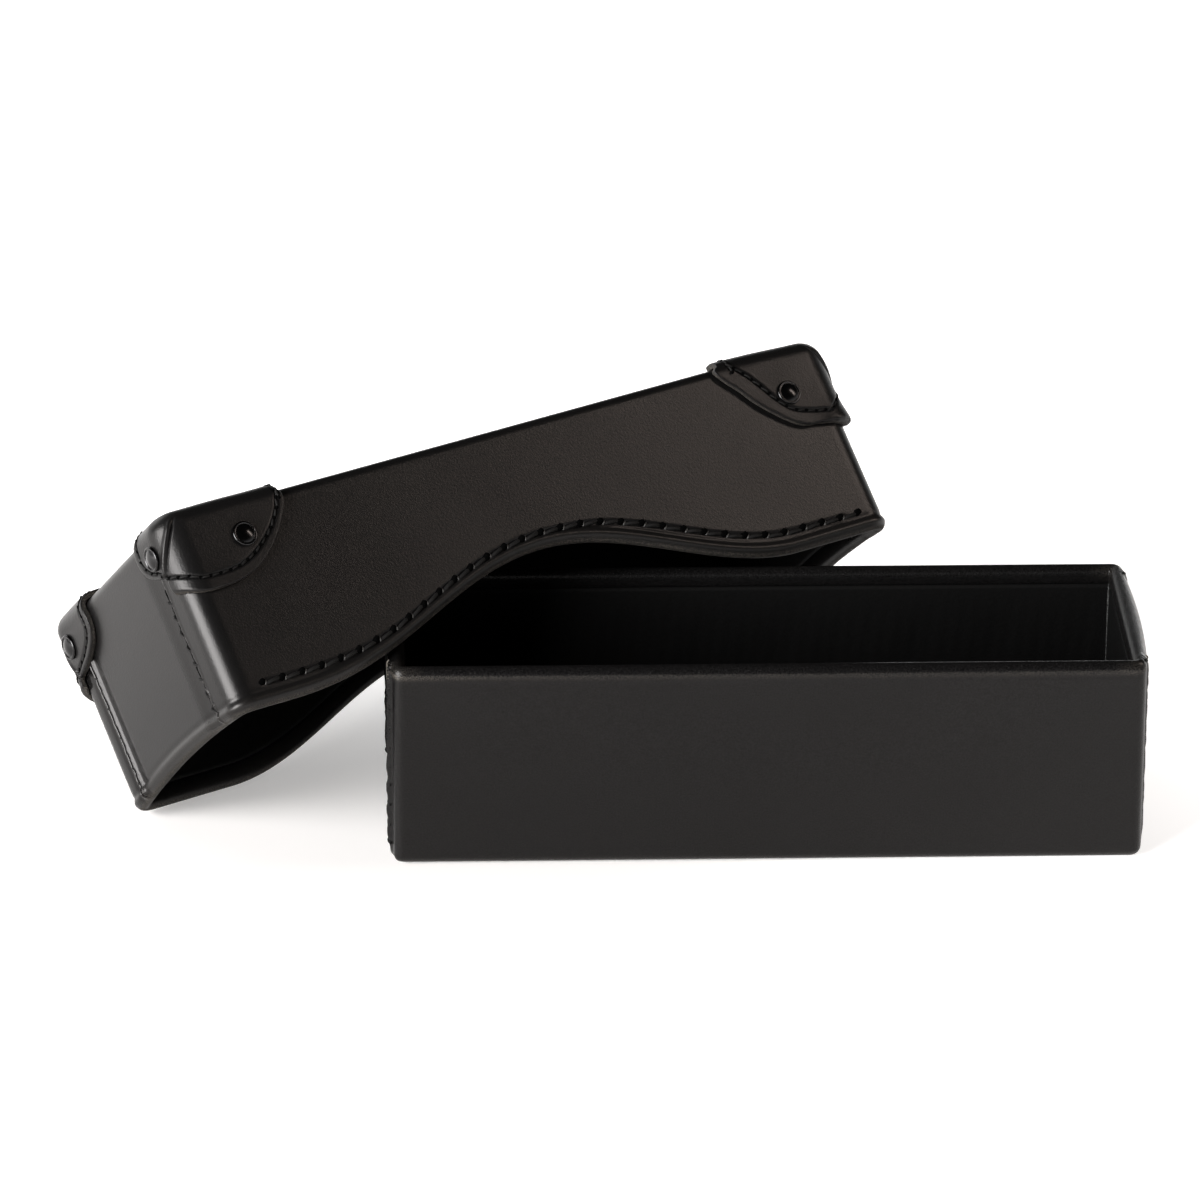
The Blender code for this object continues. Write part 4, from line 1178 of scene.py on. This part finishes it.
def waxed_thread(name, dark, pale, roughness):
    """Waxed thread; its twist shows in its tone and as a fine bump, and a rougher thread shines less."""
    material, tree, shader = new_finish(name)
    twist = noise(tree, tree.nodes.new("ShaderNodeTexCoord").outputs["Object"], 4200, 2)
    tone = tree.nodes.new("ShaderNodeMix")
    tone.data_type = "RGBA"
    tone.inputs["A"].default_value = (*dark, 1)
    tone.inputs["B"].default_value = (*pale, 1)
    link(tree, twist, tone.inputs["Factor"])
    link(tree, tone.outputs["Result"], shader.inputs["Base Color"])
    bump = tree.nodes.new("ShaderNodeBump")
    bump.inputs["Distance"].default_value = 0.00008
    link(tree, twist, bump.inputs["Height"])
    link(tree, bump.outputs["Normal"], shader.inputs["Normal"])
    shader.inputs["Roughness"].default_value = roughness
    shader.inputs["Specular IOR Level"].default_value = 0.5 * (1 - roughness)
    return material


def painted_hole_shade():
    """Painted shade: a matt near-black finish for the dark inside needle holes and in the gaps between sewn
    edges.
    """
    material, _, shader = new_finish("painted_hole_shade")
    shader.inputs["Base Color"].default_value = (0.001, 0.001, 0.001, 1)
    shader.inputs["Roughness"].default_value = 1
    shader.inputs["Specular IOR Level"].default_value = 0.02
    return material


stitches = stitch_tree()
thread_finish = waxed_thread("black_waxed_thread", (0.002, 0.002, 0.002), (0.009, 0.0085, 0.008),
                             roughness=0.68)
# A paler, glossier copy of the black thread: a painted highlight for the glints on the edge seams' short
# crossing strands.
glint_thread_finish = waxed_thread("painted_glint_thread", (0.01, 0.0095, 0.009), (0.07, 0.066, 0.062), roughness=0.35)
frayed_finish = waxed_thread("frayed_thread", (0.03, 0.028, 0.025), (0.14, 0.125, 0.105), roughness=0.8)
hole_shade_finish = painted_hole_shade()


def sewn(name, paths, values, place, finish):
    """The stitches of several paths as one mesh; a path is its points and the way out at each."""
    verts, outs, edges = [], [], []
    for points, outward in paths:
        start = len(verts)
        verts += points.tolist()
        outs += outward.tolist()
        edges += [(start + index, start + index + 1) for index in range(len(points) - 1)]
    mesh = bpy.data.meshes.new(name)
    mesh.from_pydata(verts, edges, [])
    mesh.attributes.new("outward", "FLOAT_VECTOR", "POINT").data.foreach_set(
        "vector", np.array(outs, np.float32).reshape(-1))
    thing = in_scene(name, mesh)
    sewing = thing.modifiers.new("sewing", "NODES")
    sewing.node_group = stitches
    set_inputs(sewing, {**values, "Thread": finish})
    thing.data = baked_mesh(thing)
    thing.modifiers.clear()
    thing.data.transform(place)
    thing.data.name = name
    return thing


def joined(name, things):
    """Several meshes as one object."""
    bm = bmesh.new()
    finishes = []
    for thing in things:
        finish = thing.data.materials[-1]
        if finish not in finishes:
            finishes.append(finish)
        done = len(bm.faces)
        bm.from_mesh(thing.data)
        bm.faces.ensure_lookup_table()
        for face in bm.faces[done:]:
            face.material_index = finishes.index(finish)
    mesh = bpy.data.meshes.new(name)
    bm.to_mesh(mesh)
    bm.free()
    for finish in finishes:
        mesh.materials.append(finish)
    for thing in things:
        bpy.data.objects.remove(thing)
    return in_scene(name, mesh)


edge_paths, last_hole_shades = [], []
for side, path in edge_seams.items():
    y = side * (lid_width / 2 - edge_thread_sunk)
    points = np.column_stack([path[:, 0], np.full(len(path), y), path[:, 1]])[::-side]
    outward = np.tile((0.0, side, 0.0), (len(path), 1))
    edge_paths.append((points, outward))
    way = (points[-1] - points[-2]) / np.linalg.norm(points[-1] - points[-2])
    last_hole_shades.append((points[-2:] + way * edge_hole_step, outward[-2:]))
edge_step = {"Step": 0.00505, "Unevenness": 0.05, "Seed": 3}
lid_sewing = [
    sewn("edge_strands", edge_paths, {
        **edge_step, "Stitch Length": 0.0036, "Thread Width": 0.0009, "Arch": 0.0006, "Dive": 0.0003,
        "Slant": 0.12, "Shift": 0.0021}, lid_place, thread_finish),
    # painted highlight: the crossing strands take the paler thread, as glints
    sewn("edge_crossings", edge_paths, {
        **edge_step, "Stitch Length": 0.0011, "Thread Width": 0.00036, "Arch": 0.0004, "Dive": 0.0002,
        "Slant": 1.1, "Shift": 0.00015}, lid_place, glint_thread_finish),
    # painted shade: dark blobs in the edge seams' needle holes
    sewn("edge_holes", edge_paths + last_hole_shades, {
        **edge_step, "Stitch Length": 0.0013, "Thread Width": 0.0019, "Arch": -0.0004, "Dive": 0.0006,
        "Slant": 0.5, "Shift": -0.00075, "Lift": 0.00035}, lid_place, hole_shade_finish),
    sewn("guard_strands", [guard_seam_path(name) for name in guards], {
        "Step": 0.0025, "Stitch Length": 0.0018, "Thread Width": 0.0005, "Arch": 0.0002, "Dive": 0.0003,
        "Slant": 0.12, "Unevenness": 0.14, "Seed": 5}, lid_place, thread_finish),
    # painted shade: dark blobs in the guards' needle holes
    sewn("guard_holes", [guard_seam_path(name) for name in guards], {
        "Step": 0.0025, "Stitch Length": 0.0006, "Thread Width": 0.0007, "Arch": -0.0002, "Dive": 0.0002,
        "Slant": 0.3, "Unevenness": 0.14, "Shift": 0.00115, "Seed": 5}, lid_place, hole_shade_finish),
]
end_paths, gap_shade_paths = [], []
for end_side in (-1, 1):
    for place_y, level, gap_in in ((lid_seam_places[0], 0.0004, -0.0002), (lid_seam_places[1], 0.0002, 0.0)):
        z = np.linspace(end_seam_low, lid_depth - end_seam_short, end_seam_points)
        crook = seam_crook * wandering(z * seam_crook_pace, 0 * z, 51 + end_side)
        x = np.full(end_seam_points, end_side * (lid_length / 2 + level))
        way = np.tile((float(end_side), 0.0, 0.0), (end_seam_points, 1))
        end_paths.append((np.column_stack([x, place_y + crook, z]), way))
        gap_shade_paths.append((np.column_stack([x - end_side * end_gap_shade_sunk, place_y + gap_in + crook, z]), way))
lid_sewing.append(sewn("end_strands", end_paths, {
    "Step": 0.0034, "Stitch Length": 0.0019, "Thread Width": 0.00055, "Arch": 0.0005, "Dive": 0.0002,
    "Slant": 0.8, "Unevenness": 0.4, "Seed": 9}, lid_place, thread_finish))
# painted shade: a dark line in the slits of the lid's end seams
lid_sewing.append(sewn("end_gaps", gap_shade_paths, {
    "Step": 0.0034, "Stitch Length": 0.0031, "Thread Width": 0.0009, "Arch": 0.0001, "Dive": 0.0001,
    "Slant": 0.06, "Unevenness": 0.1, "Shift": 0.0016, "Seed": 9}, lid_place, hole_shade_finish))
lid_stitches = joined("lid_stitches", lid_sewing)
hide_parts("lid_edge_thread_near", "lid_edge_thread_far",
            *[kind + corner for kind in ("lid_seam_thread_", "guard_thread_") for corner in guards])
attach(lid_stitches, "lid")

tray_paths, knot_paths = [], []
for end_side in (-1, 1):
    for place_y in tray_seam_places:
        z = np.linspace(tray_thread_low, tray_height - tray_thread_short, tray_thread_points)
        x = np.full(tray_thread_points, end_side * (tray_length / 2 + tray_thread_level[end_side]))
        y = np.full(tray_thread_points, place_y)
        way = np.tile((float(end_side), 0.0, 0.0), (tray_thread_points, 1))
        tray_paths.append((np.column_stack([x, y, z]), way))
        if place_y < 0:
            z = np.linspace(tray_height - knot_low, tray_height - knot_high, tray_thread_points)
            knot_paths.append((np.column_stack([x + end_side * knot_out, y, z]), way))
tray_sewing = [
    sewn("tray_strands", tray_paths, {
        "Step": 0.0046, "Stitch Length": 0.0024, "Thread Width": 0.0007, "Arch": 0.0005, "Dive": 0.0004,
        "Slant": 1.2, "Unevenness": 0.25, "Seed": 13}, Matrix.Identity(4), thread_finish),
    sewn("tray_knots", knot_paths, {
        "Step": 0.0007, "Stitch Length": 0.0018, "Thread Width": 0.00036, "Arch": 0.0005, "Dive": 0.0003,
        "Slant": 1.1, "Unevenness": 0.9, "Seed": 17}, Matrix.Identity(4), frayed_finish),
]
tray_stitches = joined("tray_stitches", tray_sewing)
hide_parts(*["tray_seam_thread_" + corner for corner in guards])
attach(tray_stitches, "tray")


# The rivets
# Two double-cap rivets go through each guard and the lid's wall. The caps are pressed domes with a rolled
# edge, plated in black nickel; Geometry Nodes set one at each rivet's place in the frame.
cap_radius = 0.0029
cap_height = 0.0011
cap_roll = 0.00036
cap_dome_foot = 0.00048      # where the dome meets the rolled edge, above the leather
cap_roll_in = 1.55           # the dome ends this many times the roll's radius in from the edge
post_top, post_foot = 0.5, 0.42      # the post's radii, as shares of the cap's
post_length = 0.0022
cap_points, cap_sides = 12, 48
cap_merge_distance = 0.000005


def rivet_cap():
    """A rivet's cap, turned about Z, its edge rolled under."""
    profile = [(0.0, cap_height)]
    dome_radius = cap_radius - cap_roll * cap_roll_in
    for share in np.linspace(0.12, 1, cap_points):
        profile.append((dome_radius * share, cap_height - (cap_height - cap_dome_foot) * share ** 2))
    for angle in np.radians(np.linspace(110, -90, cap_points)):
        profile.append((cap_radius - cap_roll + cap_roll * math.cos(angle),
                        cap_roll + cap_roll * math.sin(angle)))
    profile += [(cap_radius * post_top, 0.0), (cap_radius * post_foot, -post_length), (0.0, -post_length)]
    bm = bmesh.new()
    verts = [bm.verts.new((radius, 0, height)) for radius, height in profile]
    edges = [bm.edges.new(pair) for pair in zip(verts, verts[1:])]
    bmesh.ops.spin(bm, geom=verts + edges, cent=(0, 0, 0), axis=(0, 0, 1), angle=math.tau, steps=cap_sides,
                   use_merge=False, use_duplicate=False)
    bmesh.ops.remove_doubles(bm, verts=bm.verts, dist=cap_merge_distance)
    bmesh.ops.recalc_face_normals(bm, faces=bm.faces)
    mesh = bpy.data.meshes.new("rivet_cap")
    bm.to_mesh(mesh)
    bm.free()
    mesh.shade_smooth()
    return in_scene("rivet_cap", mesh)


def rivet_tree():
    """The node tree that sets one cap at each point, square to the leather there."""
    tree = bpy.data.node_groups.new("set_rivets", "GeometryNodeTree")
    face = tree.interface
    face.new_socket("Places", in_out="INPUT", socket_type="NodeSocketGeometry")
    face.new_socket("Cap", in_out="INPUT", socket_type="NodeSocketObject")
    face.new_socket("Size", in_out="INPUT", socket_type="NodeSocketFloat").default_value = 1
    face.new_socket("Plating", in_out="INPUT", socket_type="NodeSocketMaterial")
    face.new_socket("Rivets", in_out="OUTPUT", socket_type="NodeSocketGeometry")
    new = tree.nodes.new
    given, result = new("NodeGroupInput"), new("NodeGroupOutput")
    cap = new("GeometryNodeObjectInfo")
    link(tree, given.outputs["Cap"], cap.inputs["Object"])
    square = new("FunctionNodeAlignRotationToVector")
    square.axis = "Z"
    link(tree, carried_outward(tree), square.inputs["Vector"])
    placed = new("GeometryNodeInstanceOnPoints")
    link(tree, given.outputs["Places"], placed.inputs["Points"])
    link(tree, cap.outputs["Geometry"], placed.inputs["Instance"])
    link(tree, square.outputs["Rotation"], placed.inputs["Rotation"])
    link(tree, given.outputs["Size"], placed.inputs["Scale"])
    plated = real_mesh(tree, placed.outputs["Instances"], given.outputs["Plating"])
    link(tree, plated, result.inputs["Rivets"])
    return tree


def black_nickel():
    """Glossy black nickel, with a faint haze that makes its gloss uneven."""
    material, tree, shader = new_finish("black_nickel")
    shader.inputs["Base Color"].default_value = (0.035, 0.0345, 0.035, 1)
    shader.inputs["Metallic"].default_value = 1
    haze = noise(tree, tree.nodes.new("ShaderNodeTexCoord").outputs["Object"], 700, 4)
    link(tree, mapped(tree, haze, 0, 1, 0.12, 0.26), shader.inputs["Roughness"])
    return material


rivet_places, rivet_outs = [], []
for corner_name, (corner, _, _) in guards.items():
    for wall_name, way in (("wall", lid_across * corner.side_y), ("end", lid_along * corner.side_x)):
        low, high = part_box(f"rivet_{corner_name}_{wall_name}")
        foot = (low + high) / 2
        face_level = lid_length / 2 if wall_name == "end" else lid_width / 2
        level = (foot - lid_middle).dot(way)
        foot = foot + way * (face_level + guard_level - level)
        rivet_places.append(foot)
        rivet_outs.append(way)
rivet_points = bpy.data.meshes.new("rivets")
rivet_points.from_pydata([tuple(place) for place in rivet_places], [], [])
rivet_points.attributes.new("outward", "FLOAT_VECTOR", "POINT").data.foreach_set(
    "vector", np.array([tuple(way) for way in rivet_outs], np.float32).reshape(-1))
rivets = in_scene("rivets", rivet_points)
cap = rivet_cap()
setting = rivets.modifiers.new("setting", "NODES")
setting.node_group = rivet_tree()
set_inputs(setting, {"Cap": cap, "Size": 1.0, "Plating": black_nickel()})
rivets.data = baked_mesh(rivets)
rivets.modifiers.clear()
bpy.data.objects.remove(cap)
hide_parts(*[f"rivet_{corner}_{wall}" for corner in guards for wall in ("wall", "end")])
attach(rivets, "lid")
